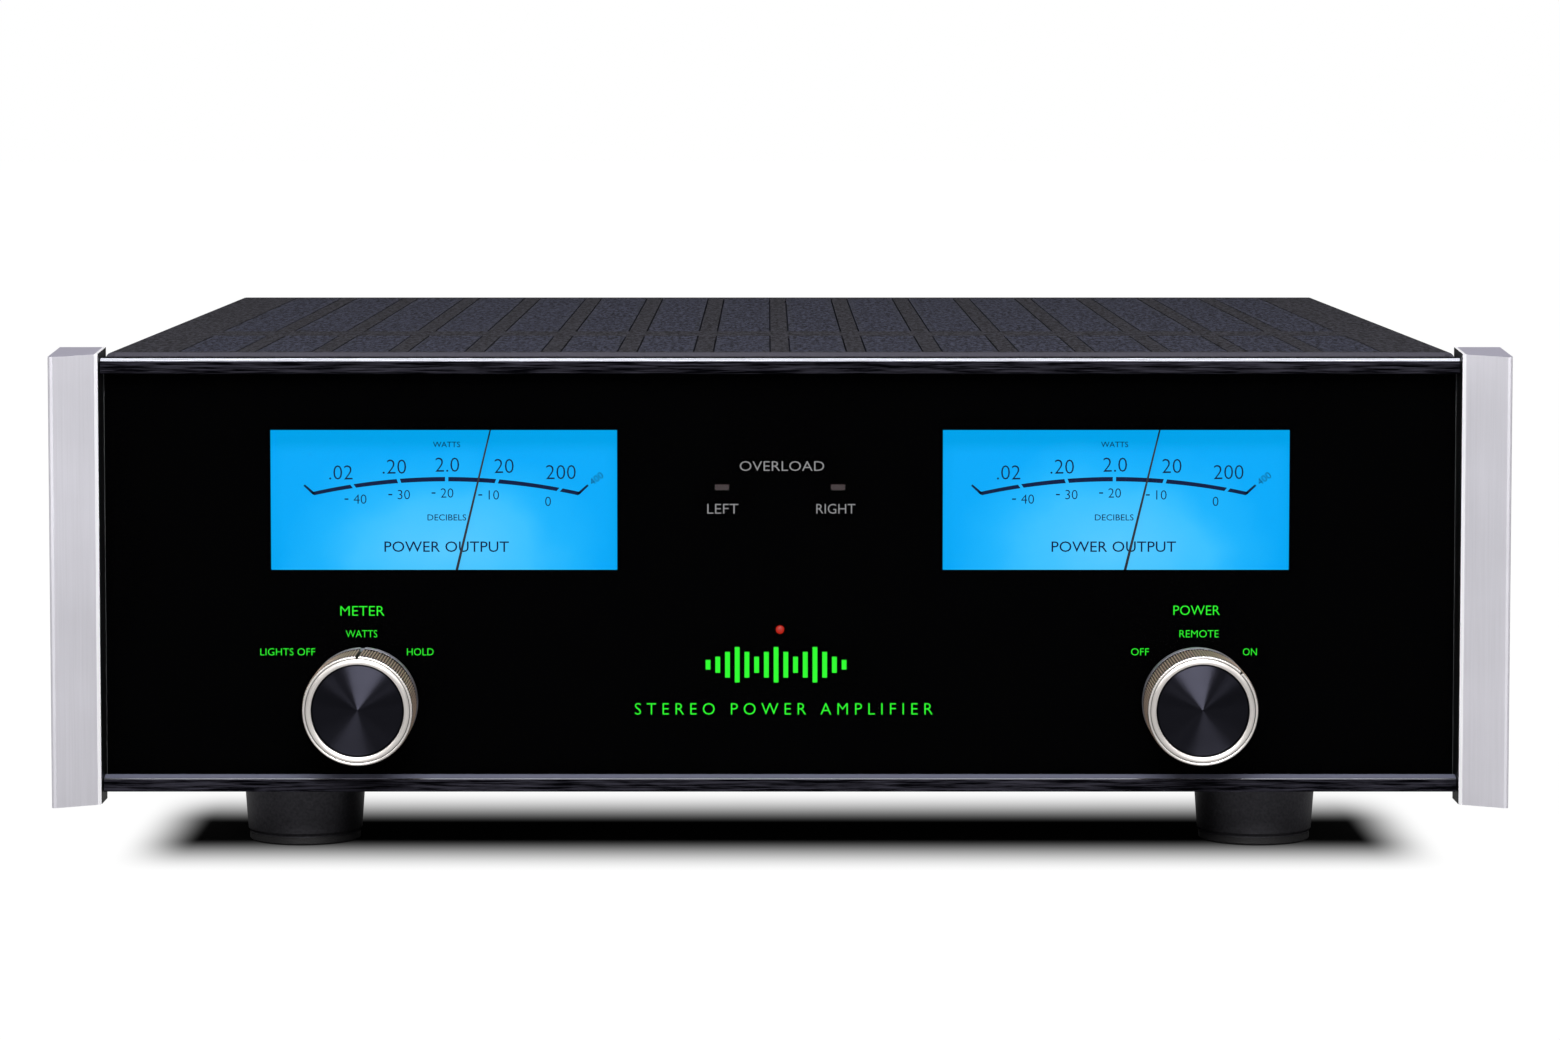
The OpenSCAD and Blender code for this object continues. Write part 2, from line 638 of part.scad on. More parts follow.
module transformer() {
  r = 9;
  color([0.75, 0.6, 0.25]) translate([0, toroid_y, base_top + 2]) rotate_extrude()
    translate([(toroid_r + 22) / 2, toroid_h / 2]) polygon(round_box(toroid_r - 22, toroid_h, r));
  color([0.08, 0.08, 0.08]) translate([0, toroid_y, base_top]) difference() {
    cylinder(r = toroid_r - 8, h = 2);
    translate([0, 0, -1]) cylinder(r = 4.2, h = 5);
  }
}

module transformer_clamp() {
  top = base_top + 2 + toroid_h;
  color([0.7, 0.7, 0.72]) translate([0, toroid_y, 0]) {
    difference() {
      union() {
        translate([0, 0, top]) cylinder(r = 50, h = 2);
        translate([0, 0, top - 8]) cylinder(r = 20, h = 9);
      }
      cylinder(r = 4.1, h = 200);
    }
    translate([0, 0, foot_h - 1.5]) cylinder(r = 4, h = top + 8 - foot_h);
    difference() {
      translate([0, 0, top + 2]) cylinder(r = 7.5, h = 5, $fn = 6);
      cylinder(r = 4.02, h = 200);
    }
    translate([0, 0, foot_h - 5]) cylinder(r = 7.5, h = 5, $fn = 6);
  }
}

sink_ys = [185, 396];
sink_zs = [foot_h + 5, foot_h + 107];

// A comb of cooling fins on an upright base plate
module right_heat_sink() {
  fin_l = 66;
  fin_t = 2;
  fins = 22;
  base_t = 6;
  pitch = (sink_ys[1] - sink_ys[0] - fin_t) / (fins - 1);
  tooth = [[fin_l, 0], [fin_l, fin_t], [0, fin_t], [0, pitch]];
  teeth = [for (i = [0:fins - 1], p = [0:3]) if (i < fins - 1 || p < 3)
    [sink_x + base_t + tooth[p][0], sink_ys[0] + i * pitch + tooth[p][1]]];
  color([0.12, 0.12, 0.13]) {
    translate([0, 0, sink_zs[0]]) linear_extrude(sink_zs[1] - sink_zs[0])
      polygon(concat([[sink_x, sink_ys[1]], [sink_x, sink_ys[0]]], teeth));
    for (y = [sink_ys[0] + 12, sink_ys[1] - 12])
      block(sink_x - 6, sink_x + base_t, y - 5, y + 5, base_top, sink_zs[0]);
  }
}

module left_heat_sink() mirror([1, 0, 0]) right_heat_sink();

module power_transistors() {
  color([0.07, 0.07, 0.07]) both_sides() for (y = [208:33:380]) {
    block(sink_x - 5, sink_x, y, y + 16, foot_h + 52, foot_h + 73);
    for (pin = [3.5, 8, 12.5])
      block(sink_x - 3, sink_x - 2.2, y + pin - 0.6, y + pin + 0.6, foot_h + 38, foot_h + 52);
  }
}

// One channel's driver board, standing beside its heat sink
module right_amp_board() {
  x = sink_x - 11;
  ys = [192, 390];
  color([0.1, 0.32, 0.18]) block(x, x + board_t, ys[0], ys[1], base_top + 4, foot_h + 96);
  color([0.6, 0.6, 0.62]) for (y = [ys[0] + 8, ys[1] - 8])
    block(x, x + board_t, y - 4, y + 4, base_top, base_top + 4);
  color([0.1, 0.1, 0.25]) for (y = [220:48:370])
    translate([x, y, foot_h + 80]) rotate([0, -90, 0]) cylinder(r = 6, h = 12);
  color([0.9, 0.88, 0.8]) for (y = [240:40:370]) block(x - 8, x, y, y + 22, foot_h + 40, foot_h + 47);
  color([0.1, 0.1, 0.1]) for (y = [206:28:380]) block(x - 4, x, y, y + 9, foot_h + 58, foot_h + 66);
  color([0.8, 0.4, 0.1]) translate([x, 378, foot_h + 30]) rotate([0, -90, 0]) cylinder(r = 8, h = 10);
}

module left_amp_board() mirror([1, 0, 0]) right_amp_board();

can_r = 24;
can_h = 82;
can_ys = [206, 258];

module filter_capacitors() {
  for (x = [-27, 27], y = can_ys) translate([x, y, base_top]) {
    color([0.1, 0.12, 0.3]) cylinder(r = can_r, h = can_h - 1);
    color([0.1, 0.12, 0.3]) translate([0, 0, can_h - 1]) cylinder(r1 = can_r, r2 = can_r - 1, h = 1);
    color([0.75, 0.75, 0.75]) for (side = [-1, 1]) translate([side * 9, 0, can_h]) cylinder(r = 4, h = 4);
  }
  color([0.7, 0.7, 0.72]) difference() {
    block(-56, 56, can_ys[0] - 29, can_ys[1] + 29, base_top + 40, base_top + 42);
    for (x = [-27, 27], y = can_ys) translate([x, y, 0]) cylinder(r = can_r + 0.05, h = 200);
  }
  color([0.7, 0.7, 0.72]) for (x = [-52, 52], y = [can_ys[0] - 25, can_ys[1] + 25])
    translate([x, y, base_top]) cylinder(r = 3, h = 40);
}

module supply_board() {
  z = base_top + 8;
  color([0.1, 0.32, 0.18]) block(-54, 54, 300, 384, z, z + board_t);
  color([0.8, 0.8, 0.8]) for (x = [-49, 49], y = [305, 379]) translate([x, y, base_top]) cylinder(r = 3, h = 8);
  color([0.07, 0.07, 0.07]) block(-14, 14, 306, 334, z + board_t, z + 11);
  color([0.15, 0.35, 0.7]) for (x = [-44, 26]) block(x, x + 19, 352, 368, z + board_t, z + 21);
  color([0.1, 0.1, 0.25]) for (x = [-38, -24, 26, 40]) translate([x, 322, z + board_t]) cylinder(r = 6, h = 22);
}

module input_board() {
  y = back_y - 22;
  color([0.1, 0.32, 0.18]) difference() {
    block(-56, 56, y, y + board_t, foot_h + 36, foot_h + 112);
    for (p = rca_places) facing_back(p[0], y - 1, p[1]) cylinder(r = 1.8, h = 5);
  }
  color([0.07, 0.07, 0.07]) for (x = [-40, -8, 24]) block(x, x + 16, y - 4, y, foot_h + 68, foot_h + 76);
  color([0.9, 0.9, 0.85]) for (x = [-46, 18]) block(x, x + 26, y - 8, y, foot_h + 42, foot_h + 49);
}

// ---- Rear connectors ----

module rca_sockets() {
  color([0.85, 0.7, 0.3]) for (p = rca_places) translate([p[0], 0, p[1]]) difference() {
    union() {
      facing_back(0, back_y, 0) cylinder(r = 6.6, h = 1.5);
      facing_back(0, back_y, 0) cylinder(r = 4.15, h = 12);
      facing_back(0, back_y - 20.4, 0) cylinder(r = 5, h = 20.4);
    }
    facing_back(0, back_y + 1, 0) cylinder(r = 3.5, h = 20);
    facing_back(0, back_y - 10, 0) cylinder(r = 1.6, h = 30);
  }
}

module xlr_sockets() {
  color([0.25, 0.25, 0.27]) for (p = xlr_places) translate([p[0], 0, p[1]]) difference() {
    union() {
      translate([0, back_y, 0]) rotate([-90, 0, 0]) linear_extrude(2) polygon(round_box(26, 31, 3));
      facing_back(0, back_y - 20.4, 0) cylinder(r = 11.8, h = 21);
    }
    difference() {
      facing_back(0, back_y - 12, 0) cylinder(r = 9.6, h = 30);
      facing_back(0, back_y - 13, 0) cylinder(r = 7.4, h = 14.6);
    }
    for (a = [90, 210, 330])
      facing_back(4.2 * cos(a), back_y - 12, 4.2 * sin(a)) cylinder(r = 1.2, h = 30);
    for (side = [-1, 1]) facing_back(side * 9.5, back_y - 1, side * 12) cylinder(r = m3_clear, h = 9);
  }
}

module control_sockets() {
  color([0.12, 0.12, 0.12]) for (p = control_places) translate([p[0], 0, p[1]]) difference() {
    union() {
      block(-4.5, 4.5, back_y - 14, back_y - sheet, -5, 5);
      facing_back(0, back_y - 3, 0) cylinder(r = 3, h = 6);
    }
    facing_back(0, back_y - 12, 0) cylinder(r = 1.8, h = 30);
  }
  color([0.8, 0.8, 0.8]) for (p = control_places) facing_back(p[0], back_y, p[1]) difference() {
    cylinder(r = 4.6, h = 2, $fn = 6);
    translate([0, 0, -1]) cylinder(r = 3.02, h = 5);
  }
}

stud_r = 4;
banana_r = 2.05;
nut_start = 4.3;

module speaker_posts() {
  for (p = post_places) translate([p[0], 0, p[1]]) {
    color([0.8, 0.66, 0.3]) difference() {
      facing_back(0, back_y - 13, 0) cylinder(r = stud_r, h = posts_end - back_y + 13);
      facing_back(0, posts_end - 16, 0) cylinder(r = banana_r, h = 20);
      translate([0, back_y + 8, 0]) cylinder(r = 1.8, h = 30, center = true);
    }
    color([0.08, 0.08, 0.08]) difference() {
      union() {
        facing_back(0, back_y, 0) cylinder(r = 9.5, h = 4);
        facing_back(0, back_y - 3.5, 0) cylinder(r = 6.1, h = 4);
      }
      facing_back(0, back_y - 9, 0) cylinder(r = stud_r + 0.01, h = 20);
    }
    color([0.8, 0.8, 0.8]) difference() {
      facing_back(0, back_y - 8.5, 0) cylinder(r = 7.5, h = 4.5, $fn = 6);
      facing_back(0, back_y - 9, 0) cylinder(r = stud_r + 0.01, h = 20);
    }
  }
}

// A grip nut that runs on one speaker post
module post_nut(i, tint) {
  grip_l = 19;
  p = post_places[i];
  facing_back(p[0], back_y + nut_start, p[1]) color(tint) difference() {
    union() {
      cylinder(r = 9, h = 2);
      translate([0, 0, 1.5]) linear_extrude(grip_l - 3.5) polygon(knurl_outline(8.6, 0.8, 18));
      translate([0, 0, grip_l - 2.5]) cylinder(r1 = 7.6, r2 = 7, h = 2.5);
    }
    translate([0, 0, -1]) cylinder(r = stud_r + running, h = grip_l + 2);
  }
}

module left_minus_nut() post_nut(0, [0.07, 0.07, 0.07]);
module left_plus_nut() post_nut(1, [0.7, 0.05, 0.05]);
module right_minus_nut() post_nut(2, [0.07, 0.07, 0.07]);
module right_plus_nut() post_nut(3, [0.7, 0.05, 0.05]);

module ac_inlet() {
  pin_l = 12;
  color([0.07, 0.07, 0.07]) translate([inlet_place[0], 0, inlet_place[1]]) {
    difference() {
      union() {
        translate([0, back_y, 0]) rotate([-90, 0, 0]) linear_extrude(2.5) polygon(round_box(50, 25, 6));
        translate([0, back_y - 18, 0]) rotate([-90, 0, 0]) linear_extrude(19) polygon(round_box(27.4, 19.8, 2));
      }
      translate([0, back_y - 15, 0]) rotate([-90, 0, 0]) linear_extrude(30) polygon(round_box(24, 16.4, 2));
      for (side = [-1, 1]) facing_back(side * 20, back_y - 1, 0) cylinder(r = m3_clear, h = 9);
    }
  }
  color([0.85, 0.85, 0.85]) translate([inlet_place[0], back_y - 16, inlet_place[1]])
    for (c = [[-7, -2], [0, 2], [7, -2]]) block(c[0] - 1, c[0] + 1, 0, pin_l, c[1] - 2, c[1] + 2);
}

fuse_bore = 4.2;

module fuse_holder() {
  color([0.1, 0.1, 0.1]) translate([fuse_place[0], 0, fuse_place[1]]) difference() {
    union() {
      facing_back(0, back_y, 0) cylinder(r = 8.6, h = 2.5);
      facing_back(0, back_y - 34, 0) cylinder(r = 6.3, h = 35);
    }
    facing_back(0, back_y - 31, 0) cylinder(r = fuse_bore, h = 60);
  }
}

module fuse_cap() {
  translate([fuse_place[0], 0, fuse_place[1]]) {
    color([0.1, 0.1, 0.1]) difference() {
      union() {
        facing_back(0, back_y + 2.6, 0) cylinder(r = 6.8, h = 7);
        facing_back(0, back_y - 7, 0) cylinder(r = fuse_bore - 0.08, h = 10);
      }
      translate([0, back_y + 9.6, 0]) cube([9, 2.4, 1.4], center = true);
    }
    color([0.85, 0.85, 0.85]) facing_back(0, back_y - 27, 0) cylinder(r = 2.5, h = 20);
  }
}

mode_travel = 6;

module mode_switch() {
  color([0.2, 0.2, 0.2]) translate([mode_place[0], 0, mode_place[1]]) difference() {
    block(-9, 9, back_y - 12, back_y - sheet, -5, 5);
    block(-6, 6, back_y - 8, back_y + 1, -2.2, 2.2);
  }
}

module mode_slider() {
  color([0.85, 0.85, 0.85]) translate([mode_place[0] - mode_travel / 2, 0, mode_place[1]]) {
    block(-2.6, 2.6, back_y - 7.5, back_y + 3, -2, 2);
  }
}

// A taped bundle of wires, square in section, that runs along the axes from point to point.
module wire(r, points) {
  for (i = [0:len(points) - 2]) let (a = points[i], b = points[i + 1])
    block(min(a[0], b[0]) - r, max(a[0], b[0]) + r, min(a[1], b[1]) - r, max(a[1], b[1]) + r,
      min(a[2], b[2]) - r, max(a[2], b[2]) + r);
}

module wiring_loom() {
  low = base_top + 3.2;
  high = foot_h + 106;
  mains_x = inlet_place[0];
  secondary_y = toroid_y + toroid_r + 1.6;
  supply_top = base_top + 8 + board_t;
  color([0.7, 0.1, 0.1]) wire(1.5, [[20, secondary_y, 55], [60, secondary_y, 55], [60, 296, 55],
    [46, 296, 55], [46, 303, 55], [46, 303, supply_top + 1.5]]);
  color([0.1, 0.1, 0.1]) wire(2.5, [[mains_x, back_y - 20.5, inlet_place[1]],
    [mains_x, 390, inlet_place[1]], [mains_x, 390, low], [mains_x, 38, low],
    [knob_x, 38, low], [knob_x, 38, knob_z - 12], [knob_x, case_y + switch_d + 2.5, knob_z - 12]]);
  color([0.85, 0.85, 0.85]) wire(2, [[-14, front_board_y + board_t + 2, 120], [-14, 40, 120],
    [-14, 40, high], [-14, 386, high], [-14, 386, 110], [-14, back_y - 24, 110]]);
  color([0.15, 0.2, 0.6]) both_sides() wire(1.8, [[sink_x - 10.2, 391.8, 46],
    [sink_x - 10.2, 402, 46], [111, 402, 46], [111, 402, 60]]);
}

// ---- The part ----

// Puts the whole part in its own frame, with the origin under its middle.
module placed() translate([0, front_y, 0]) children();

placed() glass_panel();
placed() glass_mask();
placed() top_rail();
placed() bottom_rail();
placed() left_end_cap();
placed() right_end_cap();
placed() front_subpanel();
placed() left_meter_case();
placed() right_meter_case();
placed() left_meter_dial();
placed() right_meter_dial();
placed() left_meter_movement();
placed() right_meter_movement();
placed() left_pointer();
placed() right_pointer();
placed() meter_lamps();
placed() left_knob();
placed() right_knob();
placed() left_knob_disc();
placed() right_knob_disc();
placed() left_knob_shaft();
placed() right_knob_shaft();
placed() rotary_switches();
placed() switch_nuts();
placed() front_board();
placed() indicator_lamps();
placed() chassis_base();
placed() top_cover();
placed() vent_grille();
placed() rear_panel();
placed() screws();
placed() front_left_foot();
placed() front_right_foot();
placed() rear_left_foot();
placed() rear_right_foot();
placed() foot_pads();
placed() transformer();
placed() transformer_clamp();
placed() left_heat_sink();
placed() right_heat_sink();
placed() power_transistors();
placed() left_amp_board();
placed() right_amp_board();
placed() filter_capacitors();
placed() supply_board();
placed() input_board();
placed() rca_sockets();
placed() xlr_sockets();
placed() control_sockets();
placed() speaker_posts();
placed() left_minus_nut();
placed() left_plus_nut();
placed() right_minus_nut();
placed() right_plus_nut();
placed() ac_inlet();
placed() fuse_holder();
placed() fuse_cap();
placed() mode_switch();
placed() mode_slider();
placed() wiring_loom();
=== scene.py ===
"""Looks of the stereo power amplifier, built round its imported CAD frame."""

import json
import math

import bmesh
import bpy
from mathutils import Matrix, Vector


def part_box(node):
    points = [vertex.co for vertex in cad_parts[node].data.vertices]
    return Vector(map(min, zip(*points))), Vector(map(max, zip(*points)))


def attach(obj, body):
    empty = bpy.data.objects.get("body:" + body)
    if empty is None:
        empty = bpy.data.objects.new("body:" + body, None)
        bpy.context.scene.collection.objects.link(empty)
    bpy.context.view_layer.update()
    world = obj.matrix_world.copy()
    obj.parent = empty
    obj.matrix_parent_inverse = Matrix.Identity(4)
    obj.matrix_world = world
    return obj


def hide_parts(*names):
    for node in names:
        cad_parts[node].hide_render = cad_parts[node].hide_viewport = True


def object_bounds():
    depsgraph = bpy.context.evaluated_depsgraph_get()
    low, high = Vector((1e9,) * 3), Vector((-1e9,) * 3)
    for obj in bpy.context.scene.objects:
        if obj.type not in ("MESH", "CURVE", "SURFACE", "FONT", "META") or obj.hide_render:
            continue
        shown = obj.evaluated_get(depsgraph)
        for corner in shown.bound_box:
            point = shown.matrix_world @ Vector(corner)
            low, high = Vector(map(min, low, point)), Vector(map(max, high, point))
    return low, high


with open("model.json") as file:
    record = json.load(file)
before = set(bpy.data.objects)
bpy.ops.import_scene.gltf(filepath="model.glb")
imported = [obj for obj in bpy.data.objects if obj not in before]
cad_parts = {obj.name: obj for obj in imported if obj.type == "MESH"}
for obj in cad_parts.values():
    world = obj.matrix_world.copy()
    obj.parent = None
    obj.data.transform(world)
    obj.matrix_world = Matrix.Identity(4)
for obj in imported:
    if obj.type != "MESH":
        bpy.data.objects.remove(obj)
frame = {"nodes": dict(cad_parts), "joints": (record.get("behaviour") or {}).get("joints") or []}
cad_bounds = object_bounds()
ROOT = "amplifier"
MM = 0.001

# ---- Places, from the frame ----

joints = {j["name"]: j for j in frame["joints"]}
pivots = {side: Vector(joints[f"{side}_pointer_swing"]["pos_m"]) for side in ("left", "right")}
knob_axes = {side: Vector(joints[f"{side}_knob_turn"]["pos_m"]) for side in ("left", "right")}
knob_turns = {  # clockwise from upright at rest, in radians
    side: -math.radians(sum(joints[f"{side}_knob_turn"]["range_deg"]) / 2)
    for side in ("left", "right")
}
front_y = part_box("top_rail")[0].y
dial_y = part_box("left_meter_dial")[0].y
print_y = (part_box("glass_panel")[1].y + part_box("glass_mask")[0].y) / 2
cover_lo, cover_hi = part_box("top_cover")
rear_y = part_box("rear_panel")[1].y

# ---- Where one finish or band of painted light and shade gives way to the next, from the edges of the CAD pieces ----

CAP_HIGHLIGHT = 1.0 * MM  # width of the painted highlight on an end cap's inner edge
CAP_DARK_REFLECTION = 0.06 * MM  # depth of its inner side, painted near black as a reflection of the black glass
RAIL_FRONT = 1.08 * MM  # depth of the rails' bevelled fronts
UPPER_HIGHLIGHT = 0.9 * MM  # height of the top rail's chamfer, painted bright as a highlight
LOWER_HIGHLIGHT = (1.0 * MM, 0.7 * MM)  # the bottom rail's chamfer, painted bright as a highlight, below its top
LIP_LIGHT = (2.2 * MM, 2.5 * MM)  # where the painted light on the cover's rounded front edge fades out
KNURL_DARK, KNURL_FULL = 0.38 * MM, 0.08 * MM  # below the crests of the knurls: where the painted groove shade is full, and where it ends
BLADES = (9 * MM, 4.5 * MM)  # half the width and height round the inlet's blades
BLADE_TIPS = 14.9 * MM  # inside the rear panel
DISC_LEAN = 0.23  # slope that the knob discs are shaded with

# ---- Node helpers ----


class Tree:
    """A material's node tree with short ways to add and join nodes."""

    def __init__(self, name):
        self.material = bpy.data.materials.new(name)
        self.material.use_nodes = True
        self.nodes = self.material.node_tree.nodes
        self.links = self.material.node_tree.links
        self.bsdf = self.nodes["Principled BSDF"]
        self.place = self.add("ShaderNodeTexCoord").outputs["Object"]

    def add(self, kind, **values):
        node = self.nodes.new(kind)
        for key, value in values.items():
            setattr(node, key, value)
        return node

    def feed(self, socket, value):
        if isinstance(value, bpy.types.NodeSocket):
            self.links.new(value, socket)
        else:
            socket.default_value = value

    def math(self, operation, a, b=0.0, c=0.0):
        node = self.add("ShaderNodeMath", operation=operation)
        for socket, value in zip(node.inputs, (a, b, c)):
            self.feed(socket, value)
        return node.outputs[0]

    def between(self, value, low, high):
        return self.math(
            "MULTIPLY", self.math("GREATER_THAN", value, low), self.math("LESS_THAN", value, high)
        )

    def hypotenuse(self, a, b):
        squares = [self.math("MULTIPLY", side, side) for side in (a, b)]
        return self.math("SQRT", self.math("ADD", *squares))

    def base_colour(self):
        """What the base colour is fed from so far."""
        return self.bsdf.inputs["Base Color"].links[0].from_socket

    def axes(self):
        node = self.add("ShaderNodeSeparateXYZ")
        self.feed(node.inputs[0], self.place)
        return node.outputs

    def noise(self, scale, stretch=(1, 1, 1), detail=3.0, roughness=0.5):
        mapping = self.add("ShaderNodeMapping")
        self.feed(mapping.inputs["Vector"], self.place)
        mapping.inputs["Scale"].default_value = [scale * s for s in stretch]
        node = self.add("ShaderNodeTexNoise")
        self.feed(node.inputs["Vector"], mapping.outputs["Vector"])
        node.inputs["Scale"].default_value = 1.0
        node.inputs["Detail"].default_value = detail
        node.inputs["Roughness"].default_value = roughness
        return node.outputs["Fac"]

    def ramp(self, value, low, high, out_low=0.0, out_high=1.0):
        node = self.add("ShaderNodeMapRange")
        for socket, v in zip(node.inputs, (value, low, high, out_low, out_high)):
            self.feed(socket, v)
        return node.outputs[0]

    def mix(self, factor, a, b):
        node = self.add("ShaderNodeMix", data_type="RGBA")
        self.feed(node.inputs["Factor"], factor)
        for socket, value in ((node.inputs[6], a), (node.inputs[7], b)):
            self.feed(socket, value)
        return node.outputs[2]

    def set(self, **values):
        for key, value in values.items():
            self.feed(self.bsdf.inputs[key.replace("_", " ").title().replace("Ior", "IOR")], value)

    def bump(self, height, strength, distance=0.0002):
        node = self.add("ShaderNodeBump")
        self.feed(node.inputs["Height"], height)
        node.inputs["Strength"].default_value = strength
        node.inputs["Distance"].default_value = distance
        self.feed(self.bsdf.inputs["Normal"], node.outputs["Normal"])


def srgb(r, g, b):
    """A colour given as 0 to 255 display values, as linear RGBA."""

    def linear(v):
        v /= 255
        return v / 12.92 if v <= 0.04045 else ((v + 0.055) / 1.055) ** 2.4

    return (linear(r), linear(g), linear(b), 1.0)


def scaled(colour, k):
    return tuple(min(1.0, c * k) for c in colour[:3]) + (1.0,)


def finish(
    name, colour, roughness, metal=0.0, specular=0.5, vary=0.12, grain=900.0, stretch=(1, 1, 1),
    bump=0.1, wear=0.25, anisotropic=0.0,
):
    """A surface with fine grain, broad tone variation and slight uneven gloss."""
    tree = Tree(name)
    fine = tree.noise(grain, stretch)
    broad = tree.noise(14.0, detail=4.0, roughness=0.6)
    tone = tree.math("ADD", tree.math("MULTIPLY", fine, 0.6), tree.math("MULTIPLY", broad, 0.4))
    tree.set(
        base_color=tree.mix(
            tree.ramp(tone, 0.3, 0.7), scaled(colour, 1 - vary), scaled(colour, 1 + vary)
        ),
        metallic=metal,
        roughness=tree.ramp(
            broad, 0.3, 0.7, roughness * (1 - wear / 2), min(1.0, roughness * (1 + wear / 2))
        ),
        specular_ior_level=specular,
        anisotropic=anisotropic,
    )
    tree.bump(fine, bump)
    return tree


# ---- Materials ----

INK = srgb(6, 26, 66)
GREEN = srgb(8, 232, 12)
GREY_PRINT = srgb(140, 140, 142)


def glow(name, colour, strength, vary=0.05):
    """A lit print or lens: even light with a faint variation."""
    tree = Tree(name)
    tone = tree.noise(120.0)
    tree.set(
        base_color=scaled(colour, 0.15),
        roughness=0.5,
        emission_color=tree.mix(tone, scaled(colour, 1 - vary), colour),
        emission_strength=strength,
    )
    return tree.material


def cap_metal():
    """Brushed silver, with painted shade on the top face, a painted highlight along the inner
    chamfer and the inner side painted near black as a reflection of the black glass.
    """
    tree = finish(
        "cap_metal", srgb(238, 236, 244), 0.42, metal=0.75, vary=0.05, grain=500.0,
        stretch=(3, 3, 0.06), bump=0.06, wear=0.3,
    )
    inner_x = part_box("right_end_cap")[0].x
    aside = tree.math("ABSOLUTE", tree.axes()[0])
    facing = tree.add("ShaderNodeSeparateXYZ")
    tree.feed(facing.inputs[0], tree.add("ShaderNodeTexCoord").outputs["Normal"])
    # Painted shade: faces turned upward get a duller, darker colour.
    painted_top_shade = tree.ramp(facing.outputs[2], 0.5, 0.9)
    # Painted highlight along the inner chamfer: pale and mostly diffuse.
    cut = tree.math("LESS_THAN", aside, inner_x + CAP_HIGHLIGHT)
    # The inner side itself is painted near black, as a reflection of the black glass.
    side = tree.math("LESS_THAN", aside, inner_x + CAP_DARK_REFLECTION)
    plain = tree.mix(painted_top_shade, tree.base_colour(), srgb(198, 194, 212))
    with_painted_highlight = tree.mix(cut, plain, srgb(252, 251, 255))
    tree.set(
        base_color=tree.mix(side, with_painted_highlight, srgb(6, 6, 7)),
        metallic=tree.ramp(cut, 0, 1, 0.75, 0.1),
    )
    return tree.material


def rail_black():
    """Brushed black face with painted reflection streaks, its front chamfers painted bright as
    highlights, and a painted sheen on the bottom rail's step.
    """
    tree = finish(
        "rail_black", srgb(13, 13, 17), 0.42, metal=0.0, specular=0.0, grain=700.0,
        stretch=(0.1, 2, 2), bump=0.3,
    )
    # Painted reflection: streaks along the brushing, from near black to a pale grey.
    painted_reflection_streak = tree.noise(1.0, (70, 1700, 1700), detail=4.0, roughness=0.65)
    _, y, z = tree.axes()
    top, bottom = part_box("top_rail")[1].z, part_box("bottom_rail")[1].z
    near = tree.math("LESS_THAN", y, front_y + RAIL_FRONT)
    # Painted highlight: the real front chamfers of both rails are painted bright metal, the top one
    # partly diffuse white.
    upper_highlight = tree.math("GREATER_THAN", z, top - UPPER_HIGHLIGHT)
    lower_highlight = tree.between(z, bottom - LOWER_HIGHLIGHT[0], bottom - LOWER_HIGHLIGHT[1])
    cut = tree.math("MULTIPLY", near, tree.math("ADD", upper_highlight, lower_highlight))
    # Painted sheen: the top of the bottom rail behind its bevelled front is painted a pale
    # grey-blue, as if lit from above.
    painted_ledge_sheen = tree.between(z, bottom - LOWER_HIGHLIGHT[1], bottom + 0.1 * MM)
    plain = tree.mix(tree.ramp(painted_reflection_streak, 0.42, 0.64), srgb(3, 3, 5), srgb(46, 45, 53))
    deck = tree.math(
        "MULTIPLY",
        tree.math("GREATER_THAN", z, top - 0.04 * MM),
        tree.math("GREATER_THAN", y, front_y + RAIL_FRONT),
    )
    satin = tree.mix(painted_ledge_sheen, tree.mix(deck, plain, srgb(3, 3, 5)), srgb(108, 110, 128))
    tree.set(
        base_color=tree.mix(cut, satin, srgb(240, 241, 252)),
        metallic=tree.math("MULTIPLY", cut, tree.ramp(upper_highlight, 0, 1, 1.0, 0.75)),
        roughness=tree.ramp(cut, 0, 1, 0.42, 0.2),
    )
    return tree.material


def cover_paint(name, tint):
    """Fine textured paint, dark grains with pale specks, with painted light along its rounded front
    edge.
    """
    tree = Tree(name)
    flat = tree.ramp(tree.axes()[2], cover_hi.z - 0.5 * MM, cover_hi.z - 0.3 * MM)
    grains = tree.noise(700.0, (1, 0.22, 1), detail=2.0, roughness=0.8)
    speck = tree.ramp(flat, 0, 1, tree.noise(2200.0, detail=2.0), grains)
    patch = tree.noise(420.0, detail=4.0, roughness=0.7)
    broad = tree.noise(9.0, detail=3.0)
    tone = tree.ramp(0.25, 0, 1, speck, patch)
    base = tree.mix(tree.ramp(tone, 0.4, 0.6), scaled(tint, 0.1), scaled(tint, 2.1))
    even = tree.mix(tree.ramp(broad, 0.35, 0.65, 0.0, 0.25), base, scaled(tint, 1.15))
    # Painted light: the rounded front edge of the cover is painted much paler, as if lit there.
    painted_lip_light = tree.ramp(tree.axes()[1], cover_lo.y + LIP_LIGHT[0], cover_lo.y + LIP_LIGHT[1], 1.0, 0.0)
    tree.set(
        base_color=tree.mix(painted_lip_light, even, scaled(tint, 2.5)),
        roughness=tree.ramp(patch, 0.3, 0.7, 0.62, 0.8),
        specular_ior_level=0.05,
    )
    tree.bump(tree.noise(1000.0, detail=3.0, roughness=0.6), 0.9, 0.0006)
    return tree.material


def glass():
    tree = Tree("front_glass")
    smudge = tree.noise(30.0, detail=4.0)
    tree.set(
        base_color=(0.002, 0.002, 0.0025, 1.0),
        roughness=tree.ramp(smudge, 0.4, 0.8, 0.02, 0.05),
        specular_ior_level=0.12,
        alpha=0.06,
    )
    return tree.material


